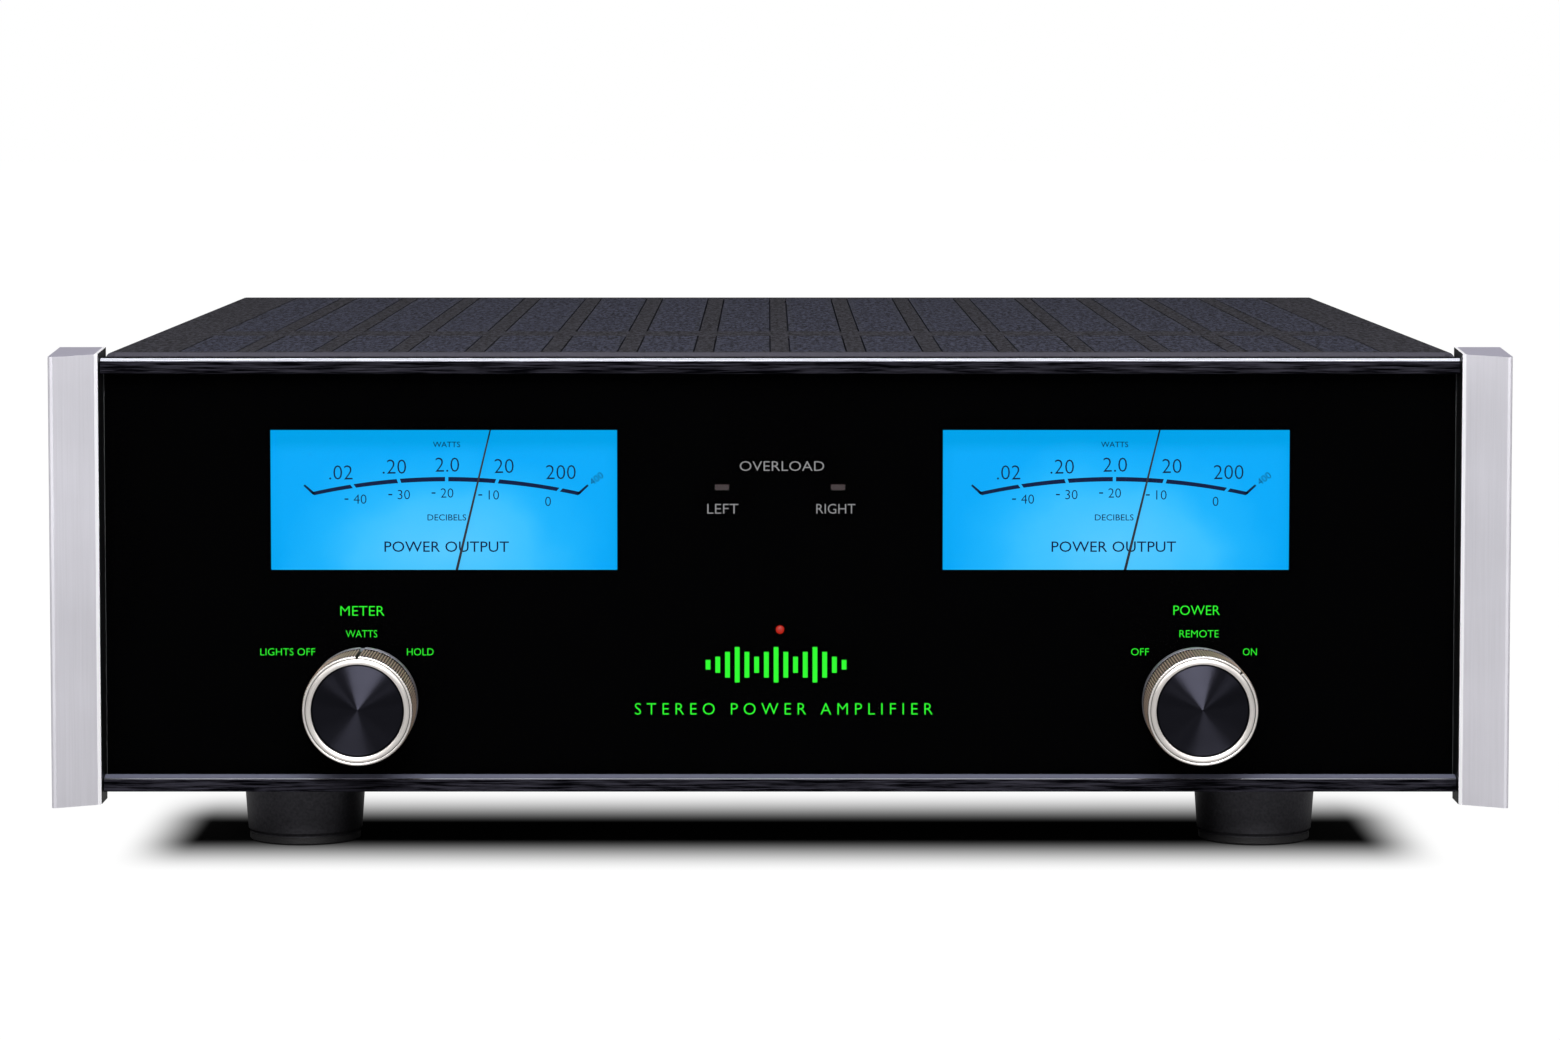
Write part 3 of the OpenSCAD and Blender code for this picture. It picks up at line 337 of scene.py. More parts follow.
def dial_light():
    """Blue light that is palest low in the middle of each dial."""
    tree = Tree("dial_light")
    x, _, z = tree.axes()
    across = tree.math("SUBTRACT", tree.math("ABSOLUTE", x), abs(pivots["right"].x))
    side = tree.math("DIVIDE", across, 52 * MM)
    rise = tree.math("DIVIDE", tree.math("SUBTRACT", z, pivots["right"].z + 20 * MM), 34 * MM)
    mottle = tree.ramp(tree.noise(45.0, detail=3.0), 0.3, 0.7, -0.08, 0.08)
    glow_at = tree.math("ADD", tree.hypotenuse(side, rise), mottle)
    inner = tree.mix(tree.ramp(glow_at, 0.0, 0.75), srgb(92, 208, 255), srgb(38, 191, 252))
    tree.set(
        base_color=scaled(srgb(10, 90, 160), 0.5),
        roughness=0.6,
        specular_ior_level=0.05,
        emission_color=tree.mix(tree.ramp(glow_at, 0.5, 0.98), inner, srgb(0, 172, 244)),
        emission_strength=0.97,
    )
    return tree.material


def lathe_turned(tree):
    """Gives a finish the streaks of metal turned about the front-to-back axis."""
    tangent = tree.add("ShaderNodeTangent", direction_type="RADIAL", axis="Y")
    tree.feed(tree.bsdf.inputs["Tangent"], tangent.outputs[0])
    tree.bsdf.inputs["Anisotropic Rotation"].default_value = 0.25
    return tree.material


def knob_radius(tree):
    """How far a point is from its knob's own axis."""
    x, _, z = tree.axes()
    return tree.hypotenuse(
        tree.math("SUBTRACT", tree.math("ABSOLUTE", x), knob_axes["right"].x),
        tree.math("SUBTRACT", z, knob_axes["right"].z),
    )


def domed_disc():
    """A turned black face, shaded as a shallow cone so that its upper half is lighter."""
    tree = finish(
        "spun_black", srgb(42, 42, 50), 0.34, metal=1.0, vary=0.06, grain=200.0, anisotropic=1.0
    )
    lathe_turned(tree)
    tree.bump(tree.math("MULTIPLY", knob_radius(tree), -DISC_LEAN), 1.0, 1.0)
    return tree.material


def knurled():
    """Warm metal, with painted shade down in the grooves."""
    tree = finish("knob_knurl", srgb(218, 190, 168), 0.4, metal=0.25, vary=0.25, grain=600.0)
    lo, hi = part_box("right_knob")
    crest = (hi.x - lo.x) / 2
    # Painted shade: the colour darkens down into each groove of the knurl.
    high = tree.ramp(knob_radius(tree), crest - KNURL_DARK, crest - KNURL_FULL)
    tree.set(base_color=tree.mix(high, srgb(46, 35, 28), tree.base_colour()))
    return tree.material


def two_tone(name, inside, colour_a, colour_b, rough_a, rough_b, metal_a, metal_b):
    """One CAD node in two finishes; inside(tree) is 1 where the second one shows."""
    tree = finish(name, colour_a, rough_a, metal=metal_a)
    part = inside(tree)
    tree.set(
        base_color=tree.mix(part, tree.base_colour(), colour_b),
        roughness=tree.ramp(part, 0, 1, rough_a, rough_b),
        metallic=tree.ramp(part, 0, 1, metal_a, metal_b),
    )
    return tree.material


def behind(limit):
    return lambda tree: tree.math("GREATER_THAN", tree.axes()[1], limit)


def inlet_blades(tree):
    x, y, z = tree.axes()
    lo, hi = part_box("ac_inlet")
    part = tree.math("GREATER_THAN", y, rear_y - BLADE_TIPS)
    middle = (lo + hi) / 2
    for place, centre, half in ((x, middle.x, BLADES[0]), (z, middle.z, BLADES[1])):
        part = tree.math("MULTIPLY", part, tree.between(place, centre - half, centre + half))
    return part


PLASTIC = srgb(30, 30, 31)
STEEL = srgb(196, 197, 200)
GOLD = srgb(226, 188, 110)
paint = cover_paint("cover_paint", srgb(46, 45, 51))
grille = cover_paint("grille_paint", srgb(50, 51, 63))
cap = cap_metal()
rail = rail_black()
dial = dial_light()
plastic = finish("black_plastic", PLASTIC, 0.5, grain=1500.0).material
zinc = finish(
    "zinc_steel", STEEL, 0.38, metal=1.0, vary=0.06, grain=300.0, stretch=(0.1, 4, 4)
).material
board = finish("board_green", srgb(28, 92, 48), 0.45, vary=0.35, grain=700.0, bump=0.3).material
case_white = finish("case_white", srgb(232, 233, 232), 0.6, vary=0.03).material
pointer_paint = finish("pointer_paint", srgb(10, 14, 34), 0.5, vary=0.2).material
movement = finish("movement_steel", srgb(150, 152, 158), 0.35, metal=1.0, vary=0.08).material
shaft = finish("shaft_steel", srgb(205, 205, 208), 0.3, metal=1.0, vary=0.04).material
chassis = finish(
    "chassis_paint", srgb(58, 58, 61), 0.5, specular=0.4, grain=2200.0, bump=0.3
).material
screw_black = finish("screw_black", srgb(38, 38, 40), 0.38, metal=0.7, vary=0.2).material
foot = finish(
    "foot_plastic", srgb(74, 73, 78), 0.42, metal=0.9, vary=0.35, grain=1100.0, bump=0.3
).material
pad = finish("pad_rubber", srgb(30, 29, 31), 0.6, vary=0.3, grain=1600.0, bump=0.4).material
spun = domed_disc()
winding = finish("winding_tape", srgb(196, 160, 74), 0.4, vary=0.18, grain=260.0, bump=0.3).material
sink = finish("sink_black", srgb(34, 34, 37), 0.45, metal=0.4, vary=0.15).material
sleeve = finish("can_sleeve", srgb(34, 44, 96), 0.4, vary=0.1).material
nut_black = finish("nut_black", srgb(26, 26, 27), 0.4, grain=1500.0).material
nut_red = finish("nut_red", srgb(168, 20, 22), 0.4, grain=1500.0).material
slider = finish("slider_white", srgb(222, 222, 216), 0.5, vary=0.04).material
loom = finish("loom_tape", srgb(44, 44, 48), 0.6, vary=0.25, grain=800.0, bump=0.3).material
socket_dark = finish("socket_dark", srgb(92, 92, 97), 0.4, metal=0.9, vary=0.08).material

node_materials = {
    "glass_panel": glass(),
    "glass_mask": finish("mask_black", srgb(0.8, 0.8, 0.9), 0.85, specular=0.0, vary=0.2).material,
    "top_rail": rail, "bottom_rail": rail, "left_end_cap": cap, "right_end_cap": cap,
    "front_subpanel": zinc, "left_meter_case": case_white, "right_meter_case": case_white,
    "left_meter_dial": dial, "right_meter_dial": dial, "left_meter_movement": movement,
    "right_meter_movement": movement, "left_pointer": pointer_paint,
    "right_pointer": pointer_paint, "meter_lamps": board, "left_knob_disc": spun,
    "right_knob_disc": spun, "left_knob_shaft": shaft, "right_knob_shaft": shaft,
    "rotary_switches": plastic, "switch_nuts": zinc, "front_board": board,
    "chassis_base": chassis, "top_cover": paint, "vent_grille": grille, "rear_panel": chassis,
    "screws": screw_black, "front_left_foot": foot, "front_right_foot": foot,
    "rear_left_foot": foot, "rear_right_foot": foot, "foot_pads": pad, "transformer": winding,
    "transformer_clamp": zinc,
    "left_heat_sink": sink, "right_heat_sink": sink, "power_transistors": plastic,
    "left_amp_board": board, "right_amp_board": board, "filter_capacitors": sleeve,
    "supply_board": board, "input_board": board,
    "rca_sockets": finish("socket_gold", GOLD, 0.28, metal=1.0, vary=0.06).material,
    "xlr_sockets": socket_dark,
    "control_sockets": two_tone(
        "jack_finish", behind(rear_y + 2.01 * MM), STEEL, PLASTIC, 0.3, 0.45, 1.0, 0.0),
    "speaker_posts": two_tone(
        "post_finish", behind(rear_y + 4.01 * MM), PLASTIC, GOLD, 0.45, 0.25, 0.0, 1.0),
    "left_minus_nut": nut_black, "left_plus_nut": nut_red, "right_minus_nut": nut_black,
    "right_plus_nut": nut_red,
    "ac_inlet": two_tone("inlet_finish", inlet_blades, PLASTIC, STEEL, 0.5, 0.3, 0.0, 1.0),
    "fuse_holder": plastic, "fuse_cap": plastic, "mode_switch": plastic, "mode_slider": slider,
    "wiring_loom": loom,
}
for node, material in node_materials.items():
    for material_slot in frame["nodes"][node].material_slots:
        material_slot.material = material


def soften(width, *nodes):
    """Rounds the edges of CAD nodes with modifiers, so that they catch the light."""
    for node in nodes:
        piece = frame["nodes"][node]
        weld = piece.modifiers.new("weld", "WELD")
        weld.merge_threshold = 1e-6
        bevel = piece.modifiers.new("bevel", "BEVEL")
        bevel.width = width
        bevel.segments = 3
        bevel.limit_method = "ANGLE"
        bevel.angle_limit = math.radians(32)
        bevel.harden_normals = True


soften(0.6 * MM, "left_end_cap", "right_end_cap")
soften(0.12 * MM, "top_rail", "bottom_rail")
soften(0.3 * MM, "ac_inlet", "fuse_holder", "mode_slider")

# ---- Piece helpers ----


def piece_from(name, mesh, materials, body=ROOT, slot=None, replaces=()):
    piece = bpy.data.objects.new(name, mesh)
    bpy.context.scene.collection.objects.link(piece)
    for material in materials:
        mesh.materials.append(material)
    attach(piece, body)
    if replaces:
        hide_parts(*replaces)
    return piece


def joined(name, build, *args, **kwargs):
    """A mesh piece filled in by build(bm)."""
    mesh = bpy.data.meshes.new(name)
    bm = bmesh.new()
    build(bm)
    bmesh.ops.recalc_face_normals(bm, faces=bm.faces)
    bm.to_mesh(mesh)
    bm.free()
    return piece_from(name, mesh, *args, **kwargs)


def prism(bm, outline, y_front, depth, material_index=0):
    """Adds a plate facing the front, from its X and Z outline."""
    front = [bm.verts.new((x, y_front, z)) for x, z in outline]
    back = [bm.verts.new((x, y_front + depth, z)) for x, z in outline]
    faces = [bm.faces.new(front), bm.faces.new(list(reversed(back)))]
    for i in range(len(outline)):
        j = (i + 1) % len(outline)
        faces.append(bm.faces.new((front[j], front[i], back[i], back[j])))
    for face in faces:
        face.material_index = material_index


def rectangle(x, z, half_wide, half_high):
    left, right, low, high = x - half_wide, x + half_wide, z - half_high, z + half_high
    return [(left, low), (right, low), (right, high), (left, high)]


def lettering(bm, text, x, z, y, height, width=None, turn=0.0, thin=0.0, back=False):
    """Adds flat capitals centred on (x, z): height is the letters' own height."""
    depth = 0.05 * MM
    curve = bpy.data.curves.new("lettering", "FONT")
    curve.body = text
    curve.align_x = "CENTER"
    curve.offset = -thin
    curve.extrude = 0.5
    curve.resolution_u = 3
    holder = bpy.data.objects.new("lettering", curve)
    bpy.context.scene.collection.objects.link(holder)
    mesh = holder.to_mesh()
    xs = [v.co.x for v in mesh.vertices]
    ys = [v.co.y for v in mesh.vertices]
    high = max(ys) - min(ys)
    wide = max(xs) - min(xs)
    kz = height / high
    kx = width / wide if width else kz
    mid_x, mid_y = (max(xs) + min(xs)) / 2, (max(ys) + min(ys)) / 2
    c, s = math.cos(turn), math.sin(turn)
    side = -1 if back else 1
    start = len(bm.verts)
    for v in mesh.vertices:
        u, w = (v.co.x - mid_x) * kx, (v.co.y - mid_y) * kz
        bm.verts.new((x + side * (u * c - w * s), y - side * v.co.z * depth, z + u * s + w * c))
    bm.verts.ensure_lookup_table()
    for p in mesh.polygons:
        bm.faces.new([bm.verts[start + i] for i in p.vertices])
    holder.to_mesh_clear()
    bpy.data.objects.remove(holder)
    bpy.data.curves.remove(curve)


# ---- Meter scales ----

ARC_R = 191 * MM
ARC_TOP = 42.1 * MM  # above the pivot
ARC_END = 41.4 * MM
ARC_STROKE = 1.35 * MM
TICKS = [-28.8, -14.6, 0.2, 15.8, 35.2]
TICK_GAP = 1.0
# Each number with its place from the pivot, in mm.
WATTS = [
    (".02", -32.6, 44.2), (".20", -16.0, 46.0), ("2.0", 0.4, 46.6), ("20", 18.0, 46.2),
    ("200", 35.6, 44.3),
]
DECIBELS = [
    ("-40", -27.6, 35.9), ("-30", -14.0, 37.3), ("-20", -0.6, 37.8), ("-10", 13.9, 37.2),
    ("0", 31.6, 35.2),
]
# Each word with its place from the pivot, its height and its width, in mm.
SCALE_WORDS = [
    ("WATTS", 0.2, 52.9, 1.7, 8.4), ("DECIBELS", 0.2, 30.2, 1.9, 12),
    ("POWER OUTPUT", 0.1, 21.1, 3.3, 38.6),
]


def arc_height(x):
    return ARC_TOP - ARC_R + math.sqrt(ARC_R**2 - x**2)


def scale_print(side):
    """The printed scale of one dial: a flat arc cut by ticks, and its numbers."""
    pivot = pivots[side]
    y = dial_y - 0.06 * MM

    def stroke_point(x, offset):
        on_arc = Vector((x, arc_height(x)))
        out = on_arc.normalized()
        return on_arc + out * offset

    def build(bm):
        bounds = [-ARC_END] + [t * MM for t in TICKS] + [ARC_END]
        for i in range(len(bounds) - 1):
            a = bounds[i] + (TICK_GAP / 2 * MM if i else 0)
            b = bounds[i + 1] - (TICK_GAP / 2 * MM if i < len(bounds) - 2 else 0)
            xs = [a + (b - a) * k / 12 for k in range(13)]
            ring = [stroke_point(x, ARC_STROKE / 2) for x in xs]
            ring += [stroke_point(x, -ARC_STROKE / 2) for x in reversed(xs)]
            prism(bm, [(pivot.x + p.x, pivot.z + p.y) for p in ring], y, 0.04 * MM)
        for way in (-1, 1):
            end = Vector((way * ARC_END, arc_height(ARC_END)))
            tip = end + Vector((way * 2.6, 2.7)) * MM
            across = Vector((-(tip - end).y, (tip - end).x)).normalized() * 0.42 * MM
            corners = [end - across, tip - across * 0.7, tip + across * 0.7, end + across]
            for i in (0, 3):
                corners[i] = corners[i] + Vector((-way * 0.4 * MM, 0))
            prism(bm, [(pivot.x + c.x, pivot.z + c.y) for c in corners], y, 0.04 * MM)
        for text, x, z in WATTS:
            lettering(bm, text, pivot.x + x * MM, pivot.z + z * MM, y, 4.4 * MM, thin=0.012)
        for text, x, z in DECIBELS:
            if text[0] == "-":
                dash = rectangle(pivot.x + (x - 3.3) * MM, pivot.z + z * MM, 0.6 * MM, 0.2 * MM)
                prism(bm, dash, y, 0.04 * MM)
                x += 0.9
            number = text.lstrip("-")
            lettering(bm, number, pivot.x + x * MM, pivot.z + z * MM, y, 2.9 * MM, thin=0.01)
        lettering(
            bm, "400", pivot.x + 46.6 * MM, pivot.z + 42.3 * MM, y, 2.1 * MM,
            turn=math.radians(38), thin=0.012,
        )
        for text, x, z, high, wide in SCALE_WORDS:
            lettering(bm, text, pivot.x + x * MM, pivot.z + z * MM, y, high * MM, wide * MM)

    return build


ink = finish("dial_ink", INK, 0.7, specular=0.1, vary=0.15).material
for side in ("left", "right"):
    joined(f"{side}_meter_scale", scale_print(side), [ink], slot="pointer_dark")

# ---- Legends behind the glass ----

green = glow("legend_green", GREEN, 1.15)
grey = glow("legend_grey", GREY_PRINT, 0.9)
window_z = pivots["left"].z + 36.5 * MM
knob_z = knob_axes["left"].z


# Each word with its place from the middle of the window or from its knob, and its size, in mm.
GREY_WORDS = [
    ("OVERLOAD", 0.6, 10.5, 26.0, 3.0), ("LEFT", -17.6, -2.7, 9.6, 3.0),
    ("RIGHT", 17.2, -2.7, 12.0, 3.0),
]
GREEN_WORDS = {
    "left": [("METER", -0.6, 27.5, 13.6, 2.95), ("WATTS", -0.9, 20.4, 9.7, 2.2),
             ("LIGHTS OFF", -23.7, 14.8, 16.9, 2.2), ("HOLD", 17.2, 14.8, 8.2, 2.2)],
    "right": [("POWER", 0.3, 27.7, 14.3, 2.95), ("REMOTE", 1.1, 20.4, 12.1, 2.25),
              ("OFF", -17.1, 14.8, 5.5, 2.2), ("ON", 16.8, 14.8, 4.3, 2.2)],
}
BARS = [3, 5, 8, 11, 8, 5, 8, 11, 8, 5, 8, 11, 8, 5, 3]  # heights of the level bars, in mm
BAR_PITCH = 3.0


def words(bm, x0, z0, rows):
    for text, x, z, wide, high in rows:
        lettering(bm, text, x0 + x * MM, z0 + z * MM, print_y, high * MM, wide * MM, thin=0.008)


def grey_legends(bm):
    words(bm, 0, window_z, GREY_WORDS)


def green_legends(bm):
    for side, rows in GREEN_WORDS.items():
        words(bm, knob_axes[side].x, knob_z, rows)
    spaced = "   ".join(" ".join(word) for word in ("STEREO", "POWER", "AMPLIFIER"))
    words(bm, 0, knob_z, [(spaced, 1.2, -2.9, 92, 3.6)])
    for i, high in enumerate(BARS):
        x = ((i - (len(BARS) - 1) / 2) * BAR_PITCH - 1.2) * MM
        bar = rectangle(x, knob_z + 10.8 * MM, 0.75 * MM, high / 2 * MM)
        prism(bm, bar, print_y, 0.05 * MM)


joined("grey_legends", grey_legends, [grey], slot="glass_mask")
joined("green_legends", green_legends, [green], slot="glass_mask")

# ---- Legends on the rear panel ----

# Each word with its place on the panel and the height of its letters, in mm.
REAR_WORDS = [
    ("LEFT", -36, 136, 2.6), ("RIGHT", 36, 136, 2.6), ("BALANCED", 0, 136, 2.4),
    ("UNBALANCED", 0, 92, 2.4), ("IN", -9, 106.5, 2.2), ("OUT", 9, 106.5, 2.2),
    ("MODE", 0, 69.5, 2.2), ("FUSE", 172, 105.5, 2.4), ("AC IN", 172, 71.5, 2.4),
    ("LEFT SPEAKER", -111, 80, 2.6), ("RIGHT SPEAKER", 111, 80, 2.6),
]


def rear_legends(bm):
    rows = list(REAR_WORDS)
    for side in ("left", "right"):
        for name, sign, high in (("minus", "-", 0.5), ("plus", "+", 2.0)):
            lo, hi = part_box(f"{side}_{name}_nut")
            rows.append((sign, (lo.x + hi.x) / 2 / MM, 73, high))
    for text, x, z, high in rows:
        lettering(bm, text, x * MM, z * MM, rear_y + 0.03 * MM, high * MM, back=True)


white = finish("legend_white", srgb(214, 215, 214), 0.6, specular=0.2).material
joined("rear_legends", rear_legends, [white], slot="cover_paint")

# ---- Knobs ----

TEETH = 120
STEPS = 6  # points round each knurl
TOOTH_DEPTH = 0.42 * MM
NOTCH_HALF = 0.38 * MM
SKIRT_NOTCH_HALF = 0.6 * MM
NOTCH_DEPTH = 1.15 * MM


def knob(side):
    """The turned body of one knob, with fine straight knurls and a pointer notch."""
    lo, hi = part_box(f"{side}_knob")
    axis = knob_axes[side]
    turn = knob_turns[side]
    r = (hi.x - lo.x) / 2
    disc_lo, disc_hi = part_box(f"{side}_knob_disc")
    floor = hi.y - disc_hi.y
    disc_r = (disc_hi.x - disc_lo.x) / 2 + 0.05 * MM
    # (radius, distance from the back in mm, finish of the band that ends here, knurled)
    profile = [
        (3.02 * MM, 3.0, 0, False), (9.5 * MM, 3.0, 0, False), (9.5 * MM, 0.0, 0, False),
        (r - 0.4 * MM, 0.0, 0, False), (r - 0.05 * MM, 0.35, 0, False),
        (r - 0.05 * MM, 3.6, 0, False), (r - 0.2 * MM, 3.8, 0, False),
        (r - 1.2 * MM, 3.85, 1, False), (r - 1.2 * MM, 5.9, 1, False),
        (r - 0.5 * MM, 6.0, 1, False), (r - 0.05 * MM, 6.5, 2, True),
        (r, 7.0, 2, True), (r, 14.0, 2, True), (r, 21.8, 2, True), (r - 0.06 * MM, 22.5, 2, True),
        (r - 0.14 * MM, 23.05, 2, True), (r - 0.34 * MM, 23.3, 4, False),
        (r - 0.6 * MM, 23.38, 3, False), (r - 0.98 * MM, 23.4, 3, False),
        (r - 1.06 * MM, 23.15, 1, False), (r - 1.14 * MM, 23.15, 1, False),
        (r - 1.24 * MM, 23.36, 3, False), (r - 1.9 * MM, 23.5, 3, False),
        (disc_r + 0.45 * MM, 23.44, 3, False), (disc_r + 0.15 * MM, 23.25, 3, False),
        (disc_r, 22.95, 4, False), (disc_r, floor / MM, 1, False),
    ]
    count = TEETH * STEPS

    def build(bm):
        rings = []
        for radius, along, _, knurled in profile:
            ring = []
            for i in range(count):
                a = 2 * math.pi * i / count
                rr = radius
                if knurled:
                    rr -= TOOTH_DEPTH * (0.5 - 0.5 * math.cos(2 * math.pi * (i % STEPS) / STEPS))
                steps_from_top = abs((i + count // 2) % count - count // 2)
                offset = steps_from_top * 2 * math.pi / count * r
                half = NOTCH_HALF if along > 5.8 else SKIRT_NOTCH_HALF
                if along > 0 and radius > r - 1.0 * MM and offset < half:
                    rr = min(rr, r - NOTCH_DEPTH)
                local_x, local_z = rr * math.sin(a), rr * math.cos(a)
                x = local_x * math.cos(turn) + local_z * math.sin(turn)
                z = -local_x * math.sin(turn) + local_z * math.cos(turn)
                ring.append(bm.verts.new((axis.x + x, hi.y - along * MM, axis.z + z)))
            rings.append(ring)
        for k in range(1, len(rings)):
            for i in range(count):
                j = (i + 1) % count
                face = bm.faces.new((rings[k - 1][i], rings[k - 1][j], rings[k][j], rings[k][i]))
                face.material_index = profile[k][2]
                face.smooth = not profile[k][3]
        bm.faces.new(rings[-1]).material_index = 1
        # The shaft's blind hole closes the back.
        hole = [bm.verts.new((v.co.x, hi.y - 16 * MM, v.co.z)) for v in rings[0]]
        for i in range(count):
            j = (i + 1) % count
            bm.faces.new((hole[i], hole[j], rings[0][j], rings[0][i])).material_index = 1
        bm.faces.new(hole).material_index = 1

    return build


knob_finishes = [
    lathe_turned(finish(
        "knob_skirt", srgb(184, 182, 190), 0.38, metal=1.0, vary=0.06, bump=0.02, anisotropic=0.8
    )),
    finish("knob_groove", srgb(6, 6, 7), 0.6, specular=0.1, vary=0.2).material,
    knurled(),
    lathe_turned(finish(
        "knob_ring", srgb(255, 248, 243), 0.4, metal=0.88, vary=0.02, bump=0.02, anisotropic=0.7
    )),
    finish("knob_edge", srgb(225, 222, 222), 0.16, metal=1.0, vary=0.03).material,
]
for side in ("left", "right"):
    body = f"{side}_knob"
    joined(
        f"{side}_knob_body", knob(side), knob_finishes, body=body, slot="knob_silver",
        replaces=[body],
    )

# ---- Lamps ----


def lamp_lenses(bm):
    """A domed status lamp and two flat overload lamps, in place of their plain solids."""
    lo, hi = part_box("indicator_lamps")
    guard_z = hi.z
    status_z = lo.z + 1.35 * MM
    rings = []
    for radius, y in ((1.3, 0.9), (1.3, 0.45), (1.1, 0.2), (0.7, 0.07), (0.0, 0.0)):
        if radius:
            turns = [2 * math.pi * i / 32 for i in range(32)]
            reach = radius * MM
            rings.append([
                bm.verts.new((reach * math.cos(a), lo.y + y * MM, status_z + reach * math.sin(a)))
                for a in turns
            ])
        else:
            tip = bm.verts.new((0, lo.y, status_z))
            for i in range(32):
                bm.faces.new((rings[-1][i], rings[-1][(i + 1) % 32], tip)).smooth = True
    for a, b in zip(rings, rings[1:]):
        for i in range(32):
            j = (i + 1) % 32
            bm.faces.new((a[i], a[j], b[j], b[i])).smooth = True
    back = [bm.verts.new((v.co.x, hi.y, v.co.z)) for v in rings[0]]
    for i in range(32):
        j = (i + 1) % 32
        bm.faces.new((back[i], back[j], rings[0][j], rings[0][i]))
    bm.faces.new(back)
    for way in (-1, 1):
        x = way * (hi.x - 2.15 * MM)
        z = guard_z - 0.85 * MM
        w, h, c = 2.15 * MM, 0.85 * MM, 0.25 * MM
        outline = [
            (w, h - c), (w - c, h), (c - w, h), (-w, h - c),
            (-w, c - h), (c - w, -h), (w - c, -h), (w, c - h),
        ]
        prism(bm, [(x + u, z + v) for u, v in outline], lo.y, hi.y - lo.y, 1)


joined(
    "lamp_lenses", lamp_lenses,
    [glow("lamp_red", srgb(176, 24, 4), 1.0), glow("lamp_dim", srgb(46, 33, 35), 1.0)],
    slot="lamp_red", replaces=["indicator_lamps"],
)

# ---- Vent mesh ----

VENT_COLUMNS = 16
VENT_PITCH = 23.6 * MM
PAD_HALF = 8.5 * MM
LEDGE = 1.0 * MM  # how far the foot of each pad runs on under the cover
VENT_RUNS = [(3.5 * MM, 101.5 * MM), (131.5 * MM, 391.5 * MM)]  # pads from the sheet's front edge
CELL = 3.0 * MM
HOLE_HALF = 0.8 * MM
CELLS_ACROSS = 5


def perforated_pad(x0, y0, y1, top, verts, faces):
    """One raised pad of the mesh: a closed plate with staggered rows of square holes."""
    rows = round((y1 - y0) / CELL - 0.5)
    margin = ((y1 - y0) - rows * CELL) / 2
    across = [(k / 2 - CELLS_ACROSS / 2) * CELL for k in range(2 * CELLS_ACROSS + 1)]
    lines = [y0 + margin + j * CELL for j in range(rows + 1)]
    under = top - 2.1 * MM
    wide, deep = len(across) + 2, len(lines) + 2

    def grid(z, grow):
        start = len(verts)
        for y in [y0 - grow, *lines, y1 + grow]:
            for x in [-PAD_HALF - grow, *across, PAD_HALF + grow]:
                verts.append((x0 + x, y, z))
        return lambda i, j: start + j * wide + i

    upper, lower = grid(top, 0), grid(under, LEDGE)
    sides = ((upper, False), (lower, True))

    def face(corners, flip):
        faces.append(tuple(reversed(corners)) if flip else tuple(corners))

    def quad(i, j, di=1):
        for at, flip in sides:
            face([at(i, j), at(i + di, j), at(i + di, j + 1), at(i, j + 1)], flip)

    for i in range(wide - 1):
        quad(i, 0)
        quad(i, deep - 2)
    for j in range(1, deep - 2):
        quad(0, j)
        quad(wide - 2, j)
        stagger = j % 2
        if stagger:
            quad(1, j)
            quad(wide - 3, j)
        for a in range(1 + stagger, wide - 3, 2):
            holes = []
            yc = (lines[j - 1] + lines[j]) / 2
            xc = x0 + across[a]
            for at, flip in sides:
                start = len(verts)
                z = verts[at(a, j)][2]
                for sx, sy in ((-1, -1), (1, -1), (1, 1), (-1, 1)):
                    verts.append((xc + sx * HOLE_HALF, yc + sy * HOLE_HALF, z))
                h = [start, start + 1, start + 2, start + 3]
                holes.append(h)
                face([at(a, j), at(a + 1, j), at(a + 2, j), h[1], h[0]], flip)
                face([at(a + 2, j), at(a + 2, j + 1), h[2], h[1]], flip)
                face([at(a + 2, j + 1), at(a + 1, j + 1), at(a, j + 1), h[3], h[2]], flip)
                face([at(a, j + 1), at(a, j), h[0], h[3]], flip)
            for k in range(4):
                m = (k + 1) % 4
                face([holes[0][k], holes[0][m], holes[1][m], holes[1][k]], False)
    edge = [(i, 0) for i in range(wide - 1)] + [(wide - 1, j) for j in range(deep - 1)]
    edge += [(i, deep - 1) for i in range(wide - 1, 0, -1)]
    edge += [(0, j) for j in range(deep - 1, 0, -1)]
    loops = [[upper(i, j) for i, j in edge]]
    for source in (upper, lower):
        start = len(verts)
        for i, j in edge:
            x, y, _ = verts[source(i, j)]
            verts.append((x, y, top - 1.55 * MM))
        loops.append(list(range(start, start + len(edge))))
    loops.append([lower(i, j) for i, j in edge])
    for a, b in zip(loops, loops[1:]):
        for k in range(len(edge)):
            m = (k + 1) % len(edge)
            face([a[m], a[k], b[k], b[m]], False)


def vent_mesh(name, columns, replaces):
    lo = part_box("vent_grille")[0]
    verts, faces = [], []
    for i in columns:
        x0 = (i - (VENT_COLUMNS - 1) / 2) * VENT_PITCH
        for y0, y1 in VENT_RUNS:
            perforated_pad(x0, lo.y + y0, lo.y + y1, cover_hi.z - 0.02 * MM, verts, faces)
    mesh = bpy.data.meshes.new(name)
    mesh.from_pydata(verts, [], faces)
    piece_from(name, mesh, [grille], slot="grille_paint", replaces=replaces)


vent_mesh("vent_mesh_left", range(VENT_COLUMNS // 2), ["vent_grille"])
vent_mesh("vent_mesh_right", range(VENT_COLUMNS // 2, VENT_COLUMNS), [])

# ---- Studio ----

FLOOR_R = 14.0
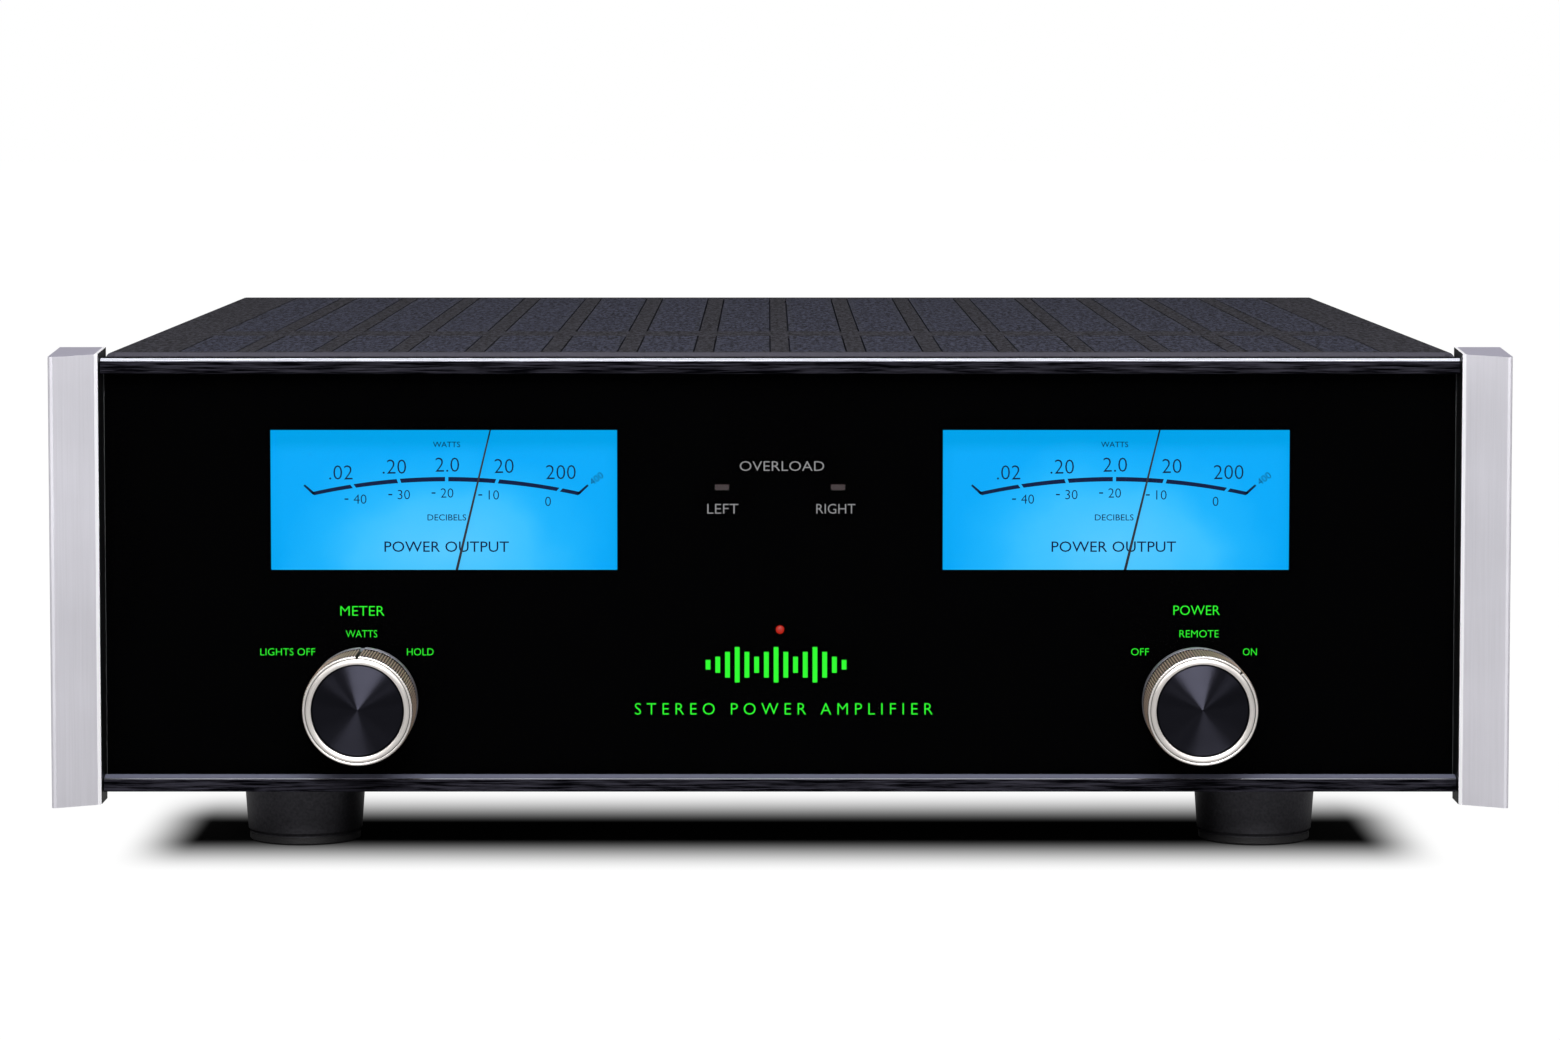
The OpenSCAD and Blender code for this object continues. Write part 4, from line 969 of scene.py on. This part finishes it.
# The soft shadow is a band under the front and another under the back, pale again between them.
SHADOW_X, SHADOW_Y = 0.1835, 0.167  # where it starts to fade outward
FADE_X, FADE_Y = 0.025, 0.069
CORE_Y = 0.131  # where it starts to fade inward
CORE_FADE = 0.076
FLOOR_GLOW = 0.34  # how much light the plain white floor gives back
bpy.ops.mesh.primitive_circle_add(vertices=96, radius=FLOOR_R, fill_type="NGON")
floor = bpy.context.object
floor.name = "studio_floor"
floor.location.z = cad_bounds[0][2] - 0.0002
sweep = Tree("studio_paper")
fx, fy, _ = sweep.axes()
across, along = sweep.math("ABSOLUTE", fx), sweep.math("ABSOLUTE", fy)


def smooth(value, low, high, out_low, out_high):
    node = sweep.add("ShaderNodeMapRange", interpolation_type="SMOOTHSTEP")
    for socket, v in zip(node.inputs, (value, low, high, out_low, out_high)):
        sweep.feed(socket, v)
    return node.outputs[0]


beside = smooth(across, SHADOW_X, SHADOW_X + FADE_X, 1.0, 0.0)
ahead = smooth(along, SHADOW_Y, SHADOW_Y + FADE_Y, 1.0, 0.0)
core = smooth(along, CORE_Y - CORE_FADE, CORE_Y, 0.0, 1.0)
shadow = sweep.math("MULTIPLY", beside, sweep.math("MULTIPLY", ahead, core))
seen = sweep.add("ShaderNodeLightPath").outputs["Is Camera Ray"]
sweep.set(
    base_color=(0.02, 0.02, 0.02, 1),
    roughness=0.9,
    specular_ior_level=0.0,
    emission_color=sweep.mix(shadow, (1, 1, 1, 1), (0, 0, 0, 1)),
    emission_strength=sweep.ramp(seen, 0, 1, FLOOR_GLOW, 1.0),
)
floor.data.materials.append(sweep.material)

world = bpy.data.worlds.new("studio")
bpy.context.scene.world = world
world.use_nodes = True
background = world.node_tree.nodes["Background"]
background.inputs["Color"].default_value = (1.0, 1.0, 1.0, 1)
AMBIENT = 0.4  # how much light the white surroundings give
SIDE_AMBIENT = 0.12  # the same straight out to the left and right
surround = world.node_tree
toward = surround.nodes.new("ShaderNodeTexCoord").outputs["Generated"]
parts = surround.nodes.new("ShaderNodeSeparateXYZ")
surround.links.new(toward, parts.inputs[0])
aside = surround.nodes.new("ShaderNodeMath")
aside.operation = "ABSOLUTE"
surround.links.new(parts.outputs["X"], aside.inputs[0])
soft = surround.nodes.new("ShaderNodeMapRange")
for socket, value in zip(soft.inputs, (0, 0.25, 0.8, AMBIENT, SIDE_AMBIENT)):
    socket.default_value = value
surround.links.new(aside.outputs[0], soft.inputs["Value"])
level = surround.nodes.new("ShaderNodeMapRange")
rays = surround.nodes.new("ShaderNodeLightPath")
surround.links.new(rays.outputs["Is Camera Ray"], level.inputs["Value"])
surround.links.new(soft.outputs[0], level.inputs["To Min"])
surround.links.new(level.outputs[0], background.inputs["Strength"])
bpy.context.scene.view_settings.view_transform = "Standard"


def softbox(name, place, target, size, power, tint=(1, 1, 1)):
    light = bpy.data.lights.new(name, "AREA")
    light.shape = "RECTANGLE"
    light.size, light.size_y = size
    light.energy = power
    light.color = tint
    lamp = bpy.data.objects.new(name, light)
    lamp.location = place
    lamp.rotation_euler = (Vector(target) - Vector(place)).to_track_quat("-Z", "Y").to_euler()
    bpy.context.scene.collection.objects.link(lamp)


middle = Vector([(a + b) / 2 for a, b in zip(*cad_bounds)])
softbox("key_light", (0.0, -1.75, 1.0), middle, (1.1, 0.5), 36)
softbox("left_wing", (-1.35, -1.5, 0.95), middle, (0.5, 0.5), 3)
softbox("right_wing", (1.35, -1.5, 0.95), middle, (0.5, 0.5), 3)
softbox("left_light", (-2.3, 0.0, 0.9), middle, (0.9, 1.0), 6)
softbox("right_light", (2.3, 0.0, 0.9), middle, (0.9, 1.0), 6)
softbox("top_light", (0.0, 0.3, 2.2), middle, (1.8, 1.2), 6, (0.93, 0.95, 1.0))

# ---- Camera ----

FOCAL_PX = 5050.5  # focal length for an image 1560 pixels wide
IMAGE_W = 1560.0
SENSOR = 36.0
STAND_OFF = 1.541  # from the face of the rails
EYE = Vector((-0.0039, front_y - STAND_OFF, 0.2383))
PITCH = math.radians(4.051)
SHIFT_X, SHIFT_Y = 0.008126, -0.05
camera_data = bpy.data.cameras.new("camera")
camera_data.sensor_width = SENSOR
camera_data.lens = FOCAL_PX / IMAGE_W * SENSOR
camera_data.shift_x = SHIFT_X
camera_data.shift_y = SHIFT_Y
camera_data.clip_end = 60
camera = bpy.data.objects.new("camera", camera_data)
camera.location = EYE
camera.rotation_euler = (math.pi / 2 - PITCH, 0, 0)
bpy.context.scene.collection.objects.link(camera)
bpy.context.scene.camera = camera
